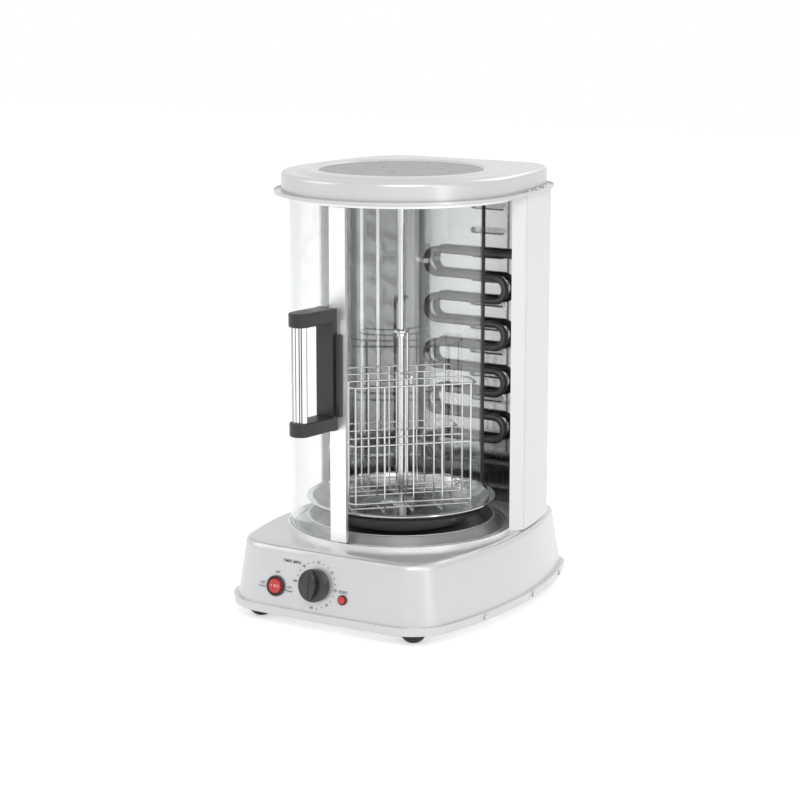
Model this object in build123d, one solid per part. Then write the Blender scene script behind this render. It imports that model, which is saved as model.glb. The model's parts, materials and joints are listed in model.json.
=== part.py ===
"""Vertical electric skewer grill: millimetres, +Z up, front towards -Y, origin under the cooking axis.

The cooking axis is the Z axis and the feet stand on Z = 0.
"""

import math
import os

from build123d import *

os.makedirs("parts", exist_ok=True)

# ---------------------------------------------------------------- heights
FOOT_HEIGHT = 13.5
RIM_HEIGHT = 9.5
BASE_TOP_Z = 90.0
CHAMBER_TOP_Z = 469.5
FLANGE_THICKNESS = 2.5
LID_HEIGHT = 22.0
LID_BEAD_HEIGHT = 3.0

# ---------------------------------------------------------------- base
RIM_FRONT_Y = -173.0
RIM_FRONT_BOW = 4.0
RIM_FRONT_HALF = 128.0
RIM_WIDEST_X = 154.0
RIM_WIDEST_Y = 40.0
RIM_REAR_HALF = 118.0
RIM_REAR_Y = 185.0
RIM_FRONT_RADIUS = 58.0
RIM_REAR_RADIUS = 34.0
RIM_STEP = 4.5
BASE_DRAFT = 9.0
BASE_WALL = 2.0
BASE_SHOULDER_RADIUS = 9.0
BOTTOM_PLATE_THICKNESS = 1.2
BOTTOM_PLATE_GAP = 0.4
FOOT_RADIUS = 14.5
FOOT_SOLE_RADIUS = 6.0
FOOT_FRONT_X = 100.0
FOOT_FRONT_Y = -138.0
FOOT_REAR_X = 98.0
FOOT_REAR_Y = 148.0

# ---------------------------------------------------------------- floor pan and tray
PAN_OPENING_RADIUS = 117.0
PAN_RADIUS = 120.0
PAN_BEAD_RADIUS = 106.5
PAN_BEAD_WIDTH = 3.5
PAN_BEAD_HEIGHT = 10.0
PAN_FLOOR_RADIUS = 97.0
PAN_FLOOR_DROP = 1.0
PAN_HOLE_RADIUS = 10.0
SHEET = 1.2
TRAY_RADIUS = 108.0
TRAY_BOWL_RADIUS = 101.0
TRAY_FLAT_RADIUS = 56.0
TRAY_BOTTOM_Z = 94.6
TRAY_RIM_Z = 123.0
TRAY_SHEET = 0.8

# ---------------------------------------------------------------- drive
SHAFT_RADIUS = 4.0
HUB_RADIUS = 10.0
HUB_FLANGE_RADIUS = 24.0
HUB_FLANGE_THICKNESS = 2.4
HUB_TOP_Z = 112.0
SOCKET_FLOOR_Z = 98.0
SPIT_RADIUS = 3.2
SPIT_SQUARE = 6.4
SOCKET_CLEARANCE = 0.3
SPIT_JOINT_Z = 432.0
SPIT_HEAD_RADIUS = 4.0
SPIT_LIFT = 10.0
RUNNING_CLEARANCE = 0.08
BEARING_RADIUS = 11.0
BEARING_DEPTH = 14.0
MOTOR_RADIUS = 25.0
MOTOR_HEIGHT = 18.0
GEARBOX_RADIUS = 24.0
GEARBOX_HEIGHT = 12.0
GEARBOX_TOP_Z = 82.0

# ---------------------------------------------------------------- door
GLASS_RADIUS = 125.0
GLASS_THICKNESS = 3.0
DOOR_FREE_EDGE = 3.1
DOOR_ARC = 201.6
STRIP_ARC = 9.3
STRIP_PROUD = 0.9
REAR_STRIP_ARC = 0.9
TRACK_GAP = 1.0
TRACK_WALL = 1.6
TRACK_FLOOR = 1.2
TRACK_LIP_HEIGHT = 4.0
GLASS_END_GAP = 0.5
HANDLE_ANGLE = -7.0
HANDLE_BOTTOM_Z = 220.5
HANDLE_TOP_Z = 355.5
HANDLE_ARM_HEIGHT = 15.5
HANDLE_REACH = 56.0
HANDLE_WIDTH = 24.0
HANDLE_PLATE_THICKNESS = 6.0
GRIP_WIDTH = 20.0
GRIP_THICKNESS = 12.0

# ---------------------------------------------------------------- lid and housing outline
LID_RADIUS = 134.0
LID_SIDE_RADIUS = 460.0
LID_REAR_Y = 158.0
LID_REAR_CORNER = 50.0
LID_WALL = 1.2
LID_EDGE_RADIUS = 5.0
LID_DISC_RADIUS = 92.0
LID_BEAD_OUTER = 119.0
FLANGE_OVERHANG = 8.5
HOUSING_PROUD = 5.0
HOUSING_SHEET = 1.2
HOUSING_FRONT_Y = 42.0
TRIM_EDGE_RADIUS = 130.2
TRIM_EDGE_Y = 29.5
TRIM_RETURN = 13.0
TRIM_RETURN_LEAN = 0.4

# ---------------------------------------------------------------- reflectors and element
LINER_Y = 153.0
LINER_HALF = 92.0
REFLECTOR_Y = 149.0
REFLECTOR_HALF = 76.0
REFLECTOR_BOTTOM_Z = 150.0
REFLECTOR_TOP_Z = 460.0
REFLECTOR_CORNER = 12.0
SLOT_LENGTH = 45.0
SLOT_HEIGHT = 7.0
SLOT_PITCH = 28.5
SLOT_COUNT = 9
SLOT_TOP_Z = 440.0
SLOT_CENTRE_X = 27.5
SIDE_REFLECTOR_GAP = 3.5
SIDE_REFLECTOR_FRONT_Y = 47.0
SIDE_REFLECTOR_REAR_Y = 143.0
ELEMENT_Y = 138.0
ELEMENT_DIAMETER = 8.5
ELEMENT_TOP_Z = 386.5
ELEMENT_PITCH = 27.7
ELEMENT_ROWS = 10
ELEMENT_CENTRE_X = 4.0
ELEMENT_HALF = 39.0
ELEMENT_END_X = 97.0
INSULATOR_RADIUS = 6.0

# ---------------------------------------------------------------- wire baskets
WIRE = 2.0
BASKET_ANGLE = 45.0
BASKET_LENGTH = 145.0
BASKET_DEPTH = 40.0
BASKET_OFFSET = 40.5
BASKET_TOP_Z = 260.5
BASKET_LOOP_PITCH = 66.0
BASKET_FOOT_DROP = 12.0
BASKET_CHAMFER = 6.0
BASKET_UPRIGHT_PITCH = 33.0
BASKET_PANEL_SEAM = 0.2
LIFT_ROD_RADIUS = 1.5
LIFT_ROD_OFFSET = 7.0
LIFT_RING_Z = 312.0
LIFT_RING_WIRE = 1.8
LIFT_BAR_RADIUS = 1.3
LIFT_HOOK_RADIUS = 1.1

# ---------------------------------------------------------------- controls on the front wall
SWITCH_X = -61.5
SWITCH_Z = 45.0
SWITCH_BEZEL_RADIUS = 11.5
SWITCH_BODY_RADIUS = 9.8
ROCKER_RADIUS = 8.6
KNOB_X = -9.5
KNOB_Z = 53.0
KNOB_RADIUS = 18.5
KNOB_SKIRT = 5.0
KNOB_REACH = 15.5
KNOB_SHAFT_RADIUS = 3.0
RESET_X = 26.5
RESET_Z = 42.0
RESET_BEZEL_RADIUS = 5.5
RESET_BUTTON_RADIUS = 4.3
RESET_SLEEVE_WALL = 0.6
RESET_TRAVEL = 2.5
INLET_X = 70.0
INLET_Z = 40.0
INLET_RADIUS = 6.0
WALL_HOLE_GAP = 0.1

# ---------------------------------------------------------------- derived places
RIM_TOP_Z = FOOT_HEIGHT + RIM_HEIGHT
FLANGE_TOP_Z = CHAMBER_TOP_Z + FLANGE_THICKNESS
LID_PLATE_Z = FLANGE_TOP_Z + LID_HEIGHT
GLASS_INNER = GLASS_RADIUS - GLASS_THICKNESS / 2
GLASS_OUTER = GLASS_RADIUS + GLASS_THICKNESS / 2
GLASS_BOTTOM_Z = BASE_TOP_Z + TRACK_FLOOR + GLASS_END_GAP
GLASS_TOP_Z = CHAMBER_TOP_Z - TRACK_FLOOR - GLASS_END_GAP
TRACK_INNER = GLASS_INNER - TRACK_GAP
TRACK_OUTER = GLASS_OUTER + TRACK_GAP
STRIP_OUTER = GLASS_OUTER + STRIP_PROUD
DRAFT_SLOPE = math.tan(math.radians(BASE_DRAFT))


def save(node, shape):
    """Write one node's solids to its STEP file."""
    shape.label = node
    export_step(shape, f"parts/{node}.step")


def tube_z(radius, bottom, top, x=0.0, y=0.0):
    """Round bar along Z between two heights."""
    return Pos(x, y, (bottom + top) / 2) * Cylinder(radius, top - bottom)


def ring_z(outer, inner, bottom, top):
    """Ring about the Z axis between two heights."""
    return tube_z(outer, bottom, top) - tube_z(inner, bottom - 1, top + 1)


def box_between(low, high):
    """Box from its lowest to its highest corner."""
    size = [b - a for a, b in zip(low, high)]
    centre = [(a + b) / 2 for a, b in zip(low, high)]
    return Pos(*centre) * Box(*size)


def polar(radius, angle):
    """Plan point at an angle from the front, counted towards +X."""
    turn = math.radians(angle)
    return radius * math.sin(turn), -radius * math.cos(turn)


def at_angle(shape, angle):
    """Turn a piece modelled at the front round the cooking axis."""
    return Rot(0, 0, angle) * shape


def bar_y(radius, y_front, y_rear, x, z):
    """Round bar along Y between two depths."""
    return Pos(x, (y_front + y_rear) / 2, z) * Rot(90, 0, 0) * Cylinder(radius, y_rear - y_front)


def bar_between(start, end, radius):
    """Round bar between any two points."""
    path = Line(start, end)
    return sweep(Plane(origin=start, z_dir=path % 0) * Circle(radius), path=path)


def fused(pieces):
    """Join overlapping pieces into one solid."""
    whole = pieces[0]
    for piece in pieces[1:]:
        whole = whole + piece
    return whole


def several(pieces):
    """Group separate solids in one node."""
    solids = [solid for piece in pieces for solid in piece.solids()]
    return Compound(children=solids)


def revolved(points):
    """Revolve a closed (radius, height) outline about the Z axis."""
    outline = make_face(Polyline(*[(r, 0, z) for r, z in points], close=True))
    return revolve(outline, axis=Axis.Z, revolution_arc=360)


def pressed_sheet(points, thickness):
    """Revolve a (radius, height) line thickened downwards, square to the line."""
    lower = []
    for i, (r, z) in enumerate(points):
        before = points[max(i - 1, 0)]
        after = points[min(i + 1, len(points) - 1)]
        normals = []
        for a, b in ((before, (r, z)), ((r, z), after)):
            length = math.hypot(b[0] - a[0], b[1] - a[1])
            if length > 0:
                normals.append(((b[1] - a[1]) / length, -(b[0] - a[0]) / length))
        nr = sum(n[0] for n in normals) / len(normals)
        nz = sum(n[1] for n in normals) / len(normals)
        scale = thickness / (nr * nr + nz * nz)
        lower.append((r + nr * scale, z + nz * scale))
    return revolved(list(points) + lower[::-1])


def lid_outline(grow):
    """Plan face of lid, flange and housing: round front, bowed sides and rounded rear corners."""
    radius = LID_RADIUS + grow
    side = LID_SIDE_RADIUS + grow
    centre = LID_RADIUS - LID_SIDE_RADIUS
    rear = LID_REAR_Y + grow
    rear_x = centre + math.sqrt(side**2 - rear**2)
    middle_x = centre + math.sqrt(side**2 - (rear / 2) ** 2)
    edges = [
        ThreePointArc((-radius, 0), (0, -radius), (radius, 0)),
        ThreePointArc((radius, 0), (middle_x, rear / 2), (rear_x, rear)),
        Line((rear_x, rear), (-rear_x, rear)),
        ThreePointArc((-rear_x, rear), (-middle_x, rear / 2), (-radius, 0)),
    ]
    face = make_face(edges)
    corners = [v for v in face.vertices() if abs(v.Y - rear) < 0.01]
    return fillet(corners, LID_REAR_CORNER + grow)


def base_outline(inset):
    """Plan face of the base at the rim, drawn in by an inset."""
    front_y = RIM_FRONT_Y + inset
    corner_y = front_y + RIM_FRONT_BOW
    corner_x = RIM_FRONT_HALF - inset
    wide_x = RIM_WIDEST_X - inset
    rear_x = RIM_REAR_HALF - inset
    rear_y = RIM_REAR_Y - inset
    edges = [
        ThreePointArc((-corner_x, corner_y), (0, front_y), (corner_x, corner_y)),
        ThreePointArc((corner_x, corner_y), (wide_x, RIM_WIDEST_Y), (rear_x, rear_y)),
        Line((rear_x, rear_y), (-rear_x, rear_y)),
        ThreePointArc((-rear_x, rear_y), (-wide_x, RIM_WIDEST_Y), (-corner_x, corner_y)),
    ]
    face = make_face(edges)
    front = [v for v in face.vertices() if v.Y < 0]
    face = fillet(front, RIM_FRONT_RADIUS - inset)
    rear = [v for v in face.vertices() if abs(v.Y - rear_y) < 0.01]
    return fillet(rear, RIM_REAR_RADIUS - min(inset, RIM_REAR_RADIUS / 2))


def wall_y(z):
    """Depth of the base's sloping front wall at a height."""
    return RIM_FRONT_Y + RIM_STEP + (z - RIM_TOP_Z) * DRAFT_SLOPE


def on_front_wall(shape, x, z):
    """Carry a piece modelled along +Z onto the front wall, its +Z pointing out of the wall."""
    return Pos(x, wall_y(z), z) * Rot(90 - BASE_DRAFT, 0, 0) * shape


def on_rear_wall(shape, x, z):
    """Carry a piece modelled along +Z onto the rear wall, its +Z pointing out of the wall."""
    wall = RIM_REAR_Y - RIM_STEP - (z - RIM_TOP_Z) * DRAFT_SLOPE
    return Pos(x, wall, z) * Rot(BASE_DRAFT - 90, 0, 0) * shape


def drafted_block(inset, bottom, top):
    """Solid under the base's sloping walls."""
    face = base_outline(RIM_STEP + inset)
    block = extrude(Pos(0, 0, RIM_TOP_Z) * face, amount=top - RIM_TOP_Z, taper=BASE_DRAFT)
    if bottom < RIM_TOP_Z:
        block = block + extrude(Pos(0, 0, bottom) * face, amount=RIM_TOP_Z - bottom)
    return block


# ================================================================ base
def make_base_shell():
    """Pressed shell with a stepped rim, sloping walls and a round opening for the floor pan."""
    rim_face = base_outline(0)
    outer = extrude(Pos(0, 0, FOOT_HEIGHT) * rim_face, amount=RIM_HEIGHT)
    outer = outer + drafted_block(0, RIM_TOP_Z, BASE_TOP_Z)
    top_edges = [e for e in outer.edges() if abs(e.center().Z - BASE_TOP_Z) < 0.01]
    outer = fillet(top_edges, BASE_SHOULDER_RADIUS)
    rim_edges = [e for e in outer.faces().sort_by(Axis.Z)[0].edges()]
    outer = fillet(rim_edges, 1.5)
    hollow = drafted_block(BASE_WALL, FOOT_HEIGHT - 1, BASE_TOP_Z - BASE_WALL)
    shell = outer - hollow
    shell = shell - tube_z(PAN_OPENING_RADIUS, BASE_TOP_Z - BASE_WALL - 1, BASE_TOP_Z + 1)
    for x, z, radius in (
        (SWITCH_X, SWITCH_Z, SWITCH_BODY_RADIUS + WALL_HOLE_GAP),
        (KNOB_X, KNOB_Z, KNOB_SHAFT_RADIUS + 1.0),
        (RESET_X, RESET_Z, RESET_BUTTON_RADIUS + RESET_SLEEVE_WALL + WALL_HOLE_GAP),
    ):
        shell = shell - on_front_wall(Cylinder(radius, 30), x, z)
    shell = shell - on_rear_wall(Cylinder(INLET_RADIUS + SOCKET_CLEARANCE, 30), INLET_X, INLET_Z)
    for x, y, turn in RIM_SCREWS:
        shell = shell - Pos(x, y, RIM_SCREW_Z) * Rot(0, 0, turn) * Rot(0, 90, 0) * Cylinder(RIM_SCREW_RADIUS + 0.1, 60)
    return shell


RIM_SCREW_Z = FOOT_HEIGHT + RIM_HEIGHT / 2
RIM_SCREW_RADIUS = 1.6


def rim_point(y):
    """Plan point of the rim's bowed right side at a depth, with its outward turn about Z."""
    x1, y1 = RIM_FRONT_HALF, RIM_FRONT_Y + RIM_FRONT_BOW
    x2, y2 = RIM_WIDEST_X, RIM_WIDEST_Y
    x3, y3 = RIM_REAR_HALF, RIM_REAR_Y
    cross = 2 * (x1 * (y2 - y3) + x2 * (y3 - y1) + x3 * (y1 - y2))
    s1, s2, s3 = x1 * x1 + y1 * y1, x2 * x2 + y2 * y2, x3 * x3 + y3 * y3
    cx = (s1 * (y2 - y3) + s2 * (y3 - y1) + s3 * (y1 - y2)) / cross
    cy = (s1 * (x3 - x2) + s2 * (x1 - x3) + s3 * (x2 - x1)) / cross
    radius = math.hypot(x2 - cx, y2 - cy)
    x = cx + math.sqrt(radius**2 - (y - cy) ** 2)
    return x, y, math.degrees(math.atan2(y - cy, x - cx))


def rim_screw_places():
    """Screw places on both sides of the rim, each with its outward turn."""
    places = []
    for depth in (-70.0, 35.0, 130.0):
        x, y, turn = rim_point(depth)
        places += [(x, y, turn), (-x, y, -turn)]
    return places


RIM_SCREWS = rim_screw_places()


def make_rim_screws():
    """Side screws that hold the bottom plate's turned-up edge."""
    pieces = []
    for x, y, turn in RIM_SCREWS:
        out = 1 if x > 0 else -1
        shank = Pos(-out * 4.0, 0, 0) * Rot(0, 90, 0) * Cylinder(RIM_SCREW_RADIUS, 9.0)
        head = Pos(out * 1.0, 0, 0) * Rot(0, 90, 0) * Cylinder(3.2, 1.6)
        pieces.append(Pos(x, y, RIM_SCREW_Z) * Rot(0, 0, turn) * (shank + head))
    return several(pieces)


def make_bottom_plate():
    """Tray-shaped metal plate that closes the base from below, with air slots and foot holes."""
    inset = RIM_STEP + BASE_WALL + BOTTOM_PLATE_GAP
    outer = extrude(Pos(0, 0, FOOT_HEIGHT) * base_outline(inset), amount=9.0)
    inner_face = base_outline(inset + BOTTOM_PLATE_THICKNESS)
    plate = outer - extrude(Pos(0, 0, FOOT_HEIGHT + BOTTOM_PLATE_THICKNESS) * inner_face, amount=9.0)
    for x, y in FEET:
        plate = plate - tube_z(FOOT_SCREW_RADIUS + 0.2, FOOT_HEIGHT - 1, FOOT_HEIGHT + 3, x, y)
    slot = extrude(SlotOverall(46, 4), amount=6)
    for row in range(6):
        for side in (-1, 1):
            plate = plate - Pos(side * 45, -50 + row * 12, FOOT_HEIGHT - 2) * slot
    for x, y in MOTOR_POSTS:
        plate = plate - tube_z(POST_SCREW_RADIUS + 0.2, FOOT_HEIGHT - 1, FOOT_HEIGHT + 3, x, y)
    for x, y, turn in RIM_SCREWS:
        plate = plate - Pos(x, y, RIM_SCREW_Z) * Rot(0, 0, turn) * Rot(0, 90, 0) * Cylinder(RIM_SCREW_RADIUS + 0.1, 60)
    return plate


FOOT_SCREW_RADIUS = 2.0
FEET = [
    (side * x, y)
    for x, y in ((FOOT_FRONT_X, FOOT_FRONT_Y), (FOOT_REAR_X, FOOT_REAR_Y))
    for side in (-1, 1)
]


def make_feet():
    """Domed rubber feet with a flat sole and a screw recess."""
    pieces = []
    for x, y in FEET:
        outline = [
            Line((0, 0, 0), (FOOT_SOLE_RADIUS, 0, 0)),
            ThreePointArc((FOOT_SOLE_RADIUS, 0, 0), (FOOT_RADIUS - 2, 0, 5.5), (FOOT_RADIUS, 0, FOOT_HEIGHT)),
            Line((FOOT_RADIUS, 0, FOOT_HEIGHT), (0, 0, FOOT_HEIGHT)),
            Line((0, 0, FOOT_HEIGHT), (0, 0, 0)),
        ]
        foot = revolve(make_face(outline), axis=Axis.Z, revolution_arc=360)
        foot = foot - tube_z(4.2, -1, 5.0) - tube_z(FOOT_SCREW_RADIUS + 0.1, 4, FOOT_HEIGHT + 1)
        pieces.append(Pos(x, y, 0) * foot)
    return several(pieces)


def make_foot_screws():
    """Screws up through the feet with nuts on the bottom plate."""
    plate_top = FOOT_HEIGHT + BOTTOM_PLATE_THICKNESS
    pieces = []
    for x, y in FEET:
        shank = tube_z(FOOT_SCREW_RADIUS, 5.0, plate_top + 6.0)
        head = tube_z(3.9, 2.6, 5.0)
        pieces.append(Pos(x, y, 0) * (shank + head))
        nut = extrude(Pos(0, 0, plate_top) * RegularPolygon(3.9, 6), amount=3.2)
        pieces.append(Pos(x, y, 0) * (nut - tube_z(FOOT_SCREW_RADIUS + 0.05, plate_top - 1, plate_top + 5)))
    return several(pieces)


# ================================================================ floor pan, tray and drive
PAN_TOP_Z = BASE_TOP_Z + SHEET
PAN_FLOOR_Z = PAN_TOP_Z - PAN_FLOOR_DROP


def make_floor_pan():
    """Pressed pan: seat ring, cone up to a round bead and a recessed floor under the tray."""
    bead_z = PAN_TOP_Z + PAN_BEAD_HEIGHT
    points = [
        (PAN_RADIUS, PAN_TOP_Z),
        (PAN_OPENING_RADIUS - 2.5, PAN_TOP_Z),
        (PAN_BEAD_RADIUS + PAN_BEAD_WIDTH / 2, bead_z - 0.8),
        (PAN_BEAD_RADIUS + PAN_BEAD_WIDTH / 2 - 1.2, bead_z),
        (PAN_BEAD_RADIUS - PAN_BEAD_WIDTH / 2 + 0.6, bead_z),
        (PAN_BEAD_RADIUS - PAN_BEAD_WIDTH / 2 - 0.6, bead_z - 0.8),
        (PAN_FLOOR_RADIUS, PAN_FLOOR_Z),
        (PAN_HOLE_RADIUS, PAN_FLOOR_Z),
    ]
    pan = pressed_sheet(points[::-1], SHEET)
    for x, y in PAN_SCREWS:
        pan = pan - tube_z(PAN_SCREW_RADIUS + 0.1, PAN_FLOOR_Z - 5, PAN_TOP_Z + 5, x, y)
    return pan


PAN_SCREW_RADIUS = 1.6
PAN_SCREWS = [polar(90.0, angle) for angle in (-100.0, -20.0, 80.0, 160.0)]


def make_pan_screws():
    """Round-headed screws through the recessed floor with nuts below."""
    low = PAN_FLOOR_Z - SHEET
    pieces = []
    for x, y in PAN_SCREWS:
        head = Pos(x, y, PAN_FLOOR_Z) * (Sphere(3.0) & Pos(0, 0, 2) * Box(8, 8, 4))
        shank = tube_z(PAN_SCREW_RADIUS, low - 5, PAN_FLOOR_Z, x, y)
        nut = extrude(Pos(x, y, low - 2.5) * RegularPolygon(3.2, 6), amount=2.5)
        pieces.append(head + shank + nut)
    return several(pieces)


def make_drip_tray():
    """Stainless drip tray: flat floor, bowl wall and a flat rim with a rolled edge."""
    rise = TRAY_RIM_Z - TRAY_BOTTOM_Z - TRAY_SHEET
    run = TRAY_BOWL_RADIUS - TRAY_FLAT_RADIUS
    bowl = (run * run + rise * rise) / (2 * rise)
    steps = 14
    sweep_angle = math.asin(run / bowl)
    floor_z = TRAY_BOTTOM_Z + TRAY_SHEET
    points = [(HUB_RADIUS + SOCKET_CLEARANCE, floor_z)]
    for i in range(steps + 1):
        a = sweep_angle * i / steps
        points.append((TRAY_FLAT_RADIUS + bowl * math.sin(a), floor_z + bowl * (1 - math.cos(a))))
    points.append((TRAY_RADIUS - 1.2, TRAY_RIM_Z + 0.8))
    points.append((TRAY_RADIUS, TRAY_RIM_Z + 0.2))
    points.append((TRAY_RADIUS + 0.2, TRAY_RIM_Z - 1.0))
    return pressed_sheet(points, TRAY_SHEET)


def make_drive_hub():
    """Drive shaft with a flange that carries the tray and a square socket for the spit."""
    flange_low = TRAY_BOTTOM_Z - HUB_FLANGE_THICKNESS
    hub = tube_z(SHAFT_RADIUS, GEARBOX_TOP_Z - 6, flange_low + 0.5)
    hub = hub + tube_z(HUB_FLANGE_RADIUS, flange_low, TRAY_BOTTOM_Z)
    hub = hub + tube_z(HUB_RADIUS, TRAY_BOTTOM_Z - 0.5, HUB_TOP_Z)
    hub = chamfer(hub.edges().group_by(Axis.Z)[-1], 1.0)
    side = SPIT_SQUARE + 2 * SOCKET_CLEARANCE
    return hub - Pos(0, 0, (SOCKET_FLOOR_Z + HUB_TOP_Z + 2) / 2) * Box(side, side, HUB_TOP_Z + 2 - SOCKET_FLOOR_Z)


MOTOR_POSTS = [(29.0, 0.0), (-29.0, 0.0)]
POST_SCREW_RADIUS = 2.0
POST_RADIUS = 4.5
MOTOR_BOTTOM_Z = GEARBOX_TOP_Z - GEARBOX_HEIGHT - MOTOR_HEIGHT


def make_motor_bracket():
    """Bridge plate on two posts that carries the motor from the bottom plate."""
    low = GEARBOX_TOP_Z
    plate = extrude(Pos(0, 0, low) * SlotOverall(72, 18), amount=2.0)
    plate = plate - tube_z(SHAFT_RADIUS + 2.5, low - 1, low + 3)
    floor_z = FOOT_HEIGHT + BOTTOM_PLATE_THICKNESS
    bracket = plate
    for x, y in MOTOR_POSTS:
        bracket = bracket + tube_z(POST_RADIUS, floor_z, low + 1.0, x, y)
    for x, y in MOTOR_POSTS:
        bracket = bracket - tube_z(POST_SCREW_RADIUS, floor_z - 1, floor_z + 12, x, y)
    return bracket


def make_motor_screws():
    """Screws from below the bottom plate into the bracket's posts."""
    pieces = []
    for x, y in MOTOR_POSTS:
        head = tube_z(3.6, FOOT_HEIGHT - 2.2, FOOT_HEIGHT, x, y)
        pieces.append(head + tube_z(POST_SCREW_RADIUS - 0.05, FOOT_HEIGHT - 0.5, FOOT_HEIGHT + 10, x, y))
    return several(pieces)


def make_gearbox():
    """Flat gear case of the turning motor with a shaft bore on the cooking axis."""
    low = GEARBOX_TOP_Z - GEARBOX_HEIGHT
    case = tube_z(GEARBOX_RADIUS, low, GEARBOX_TOP_Z)
    case = case - tube_z(SHAFT_RADIUS + RUNNING_CLEARANCE, GEARBOX_TOP_Z - 8, GEARBOX_TOP_Z + 1)
    return case


def make_motor():
    """Synchronous motor can below the gear case with its terminal boss."""
    top = GEARBOX_TOP_Z - GEARBOX_HEIGHT
    can = tube_z(MOTOR_RADIUS - 1, MOTOR_BOTTOM_Z, top)
    can = fillet(can.edges().group_by(Axis.Z)[0], 1.5)
    return can + box_between((-8, MOTOR_RADIUS - 3, MOTOR_BOTTOM_Z + 5), (8, MOTOR_RADIUS + 6, top - 2))


# ================================================================ chamber walls
def make_track(seat_z, up):
    """Channel ring that guides the curved glass, open upwards or downwards."""
    floor_low, floor_high = sorted((seat_z, seat_z + up * TRACK_FLOOR))
    low, high = sorted((seat_z, seat_z + up * TRACK_LIP_HEIGHT))
    floor = ring_z(TRACK_OUTER + TRACK_WALL, TRACK_INNER - TRACK_WALL, floor_low, floor_high)
    inner = ring_z(TRACK_INNER, TRACK_INNER - TRACK_WALL, low, high)
    outer = ring_z(TRACK_OUTER + TRACK_WALL, TRACK_OUTER, low, high)
    return floor + inner + outer


def rear_half(shape, front_y):
    """Keep what lies behind a depth."""
    return shape & box_between((-300, front_y, -10), (300, 400, 700))


def make_housing():
    """Bent sheet cabinet behind the chamber: two side walls and a slotted back."""
    grow = HOUSING_PROUD
    wall = extrude(Pos(0, 0, BASE_TOP_Z) * lid_outline(grow), amount=CHAMBER_TOP_Z - BASE_TOP_Z)
    wall = wall - extrude(Pos(0, 0, 0) * lid_outline(grow - HOUSING_SHEET), amount=700)
    wall = rear_half(wall, HOUSING_FRONT_Y)
    rear_y = LID_REAR_Y + grow
    vent = Rot(90, 0, 0) * extrude(SlotOverall(70, 5), amount=6, both=True)
    for row in range(8):
        wall = wall - Pos(0, rear_y, 420 - row * 12) * vent
        wall = wall - Pos(0, rear_y, 200 - row * 12) * vent
    for x, z in REAR_COVER_SCREWS:
        wall = wall - bar_y(1.7, rear_y - 5, rear_y + 5, x, z)
    return wall


REAR_COVER_SCREWS = [(side * 48.0, z) for side in (-1, 1) for z in (245.0, 305.0)]


def make_rear_cover():
    """Shallow terminal cover screwed to the back of the cabinet."""
    back = LID_REAR_Y + HOUSING_PROUD
    cover = Pos(0, back + 5, 275) * Box(112, 10, 84)
    cover = fillet(cover.edges().filter_by(Axis.Y), 8)
    cover = fillet(cover.faces().sort_by(Axis.Y)[-1].edges(), 2)
    cover = cover - Pos(0, back + 4, 275) * Box(106, 8.01, 62)
    for x, z in REAR_COVER_SCREWS:
        cover = cover - bar_y(1.7, back - 5, back + 20, x, z)
    return cover


def make_rear_cover_screws():
    """Pan-head screws of the rear cover."""
    back = LID_REAR_Y + HOUSING_PROUD
    pieces = []
    for x, z in REAR_COVER_SCREWS:
        pieces.append(bar_y(3.0, back + 10, back + 12, x, z) + bar_y(1.5, back - 4, back + 10.5, x, z))
    return several(pieces)


def make_trim(side):
    """Folded front edge strip between the cabinet's side wall and the door opening."""
    centre = LID_RADIUS - LID_SIDE_RADIUS
    fold_x = centre + math.sqrt((LID_SIDE_RADIUS + HOUSING_PROUD) ** 2 - HOUSING_FRONT_Y**2)
    fold = (fold_x - HOUSING_SHEET / 2, HOUSING_FRONT_Y - HOUSING_SHEET)
    edge = (math.sqrt(TRIM_EDGE_RADIUS**2 - TRIM_EDGE_Y**2), TRIM_EDGE_Y)
    inward = (edge[0] + TRIM_RETURN_LEAN, edge[1] + TRIM_RETURN)
    line = Polyline((side * fold[0], fold[1]), (side * edge[0], edge[1]), (side * inward[0], inward[1]))
    path = Wire(line.edges())
    band = make_face(offset(path, HOUSING_SHEET / 2, kind=Kind.INTERSECTION))
    return extrude(Pos(0, 0, BASE_TOP_Z) * band, amount=CHAMBER_TOP_Z - BASE_TOP_Z)


def make_liner():
    """Flat inner back of the chamber with a folded ledge at its foot."""
    low = BASE_TOP_Z
    sheet = box_between((-LINER_HALF, LINER_Y, low), (LINER_HALF, LINER_Y + SHEET, CHAMBER_TOP_Z))
    ledge = box_between((-LINER_HALF + 12, LINER_Y - 9, low), (LINER_HALF - 12, LINER_Y + 0.5, low + 16))
    return sheet + ledge


def slots_at(y_low, y_high):
    """Rounded air slots through the back, in one column."""
    slot = Rot(90, 0, 0) * extrude(SlotOverall(SLOT_LENGTH, SLOT_HEIGHT), amount=20, both=True)
    return [Pos(SLOT_CENTRE_X, (y_low + y_high) / 2, SLOT_TOP_Z - i * SLOT_PITCH) * slot for i in range(SLOT_COUNT)]


def make_rear_reflector():
    """Polished plate with rounded corners, one column of slots and folded stand-off edges."""
    height = REFLECTOR_TOP_Z - REFLECTOR_BOTTOM_Z
    middle_z = (REFLECTOR_TOP_Z + REFLECTOR_BOTTOM_Z) / 2
    face = RectangleRounded(2 * REFLECTOR_HALF, height, REFLECTOR_CORNER)
    plate = Pos(0, REFLECTOR_Y + 0.8, middle_z) * Rot(90, 0, 0) * extrude(face, amount=0.8)
    for x in (-REFLECTOR_HALF + 16, 0.0, REFLECTOR_HALF - 16):
        for z in (REFLECTOR_BOTTOM_Z + 20, middle_z, REFLECTOR_TOP_Z - 20):
            plate = plate + bar_y(4.0, REFLECTOR_Y + 0.4, LINER_Y, x, z)
    for slot in slots_at(REFLECTOR_Y, LINER_Y):
        plate = plate - slot
    return plate


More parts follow.
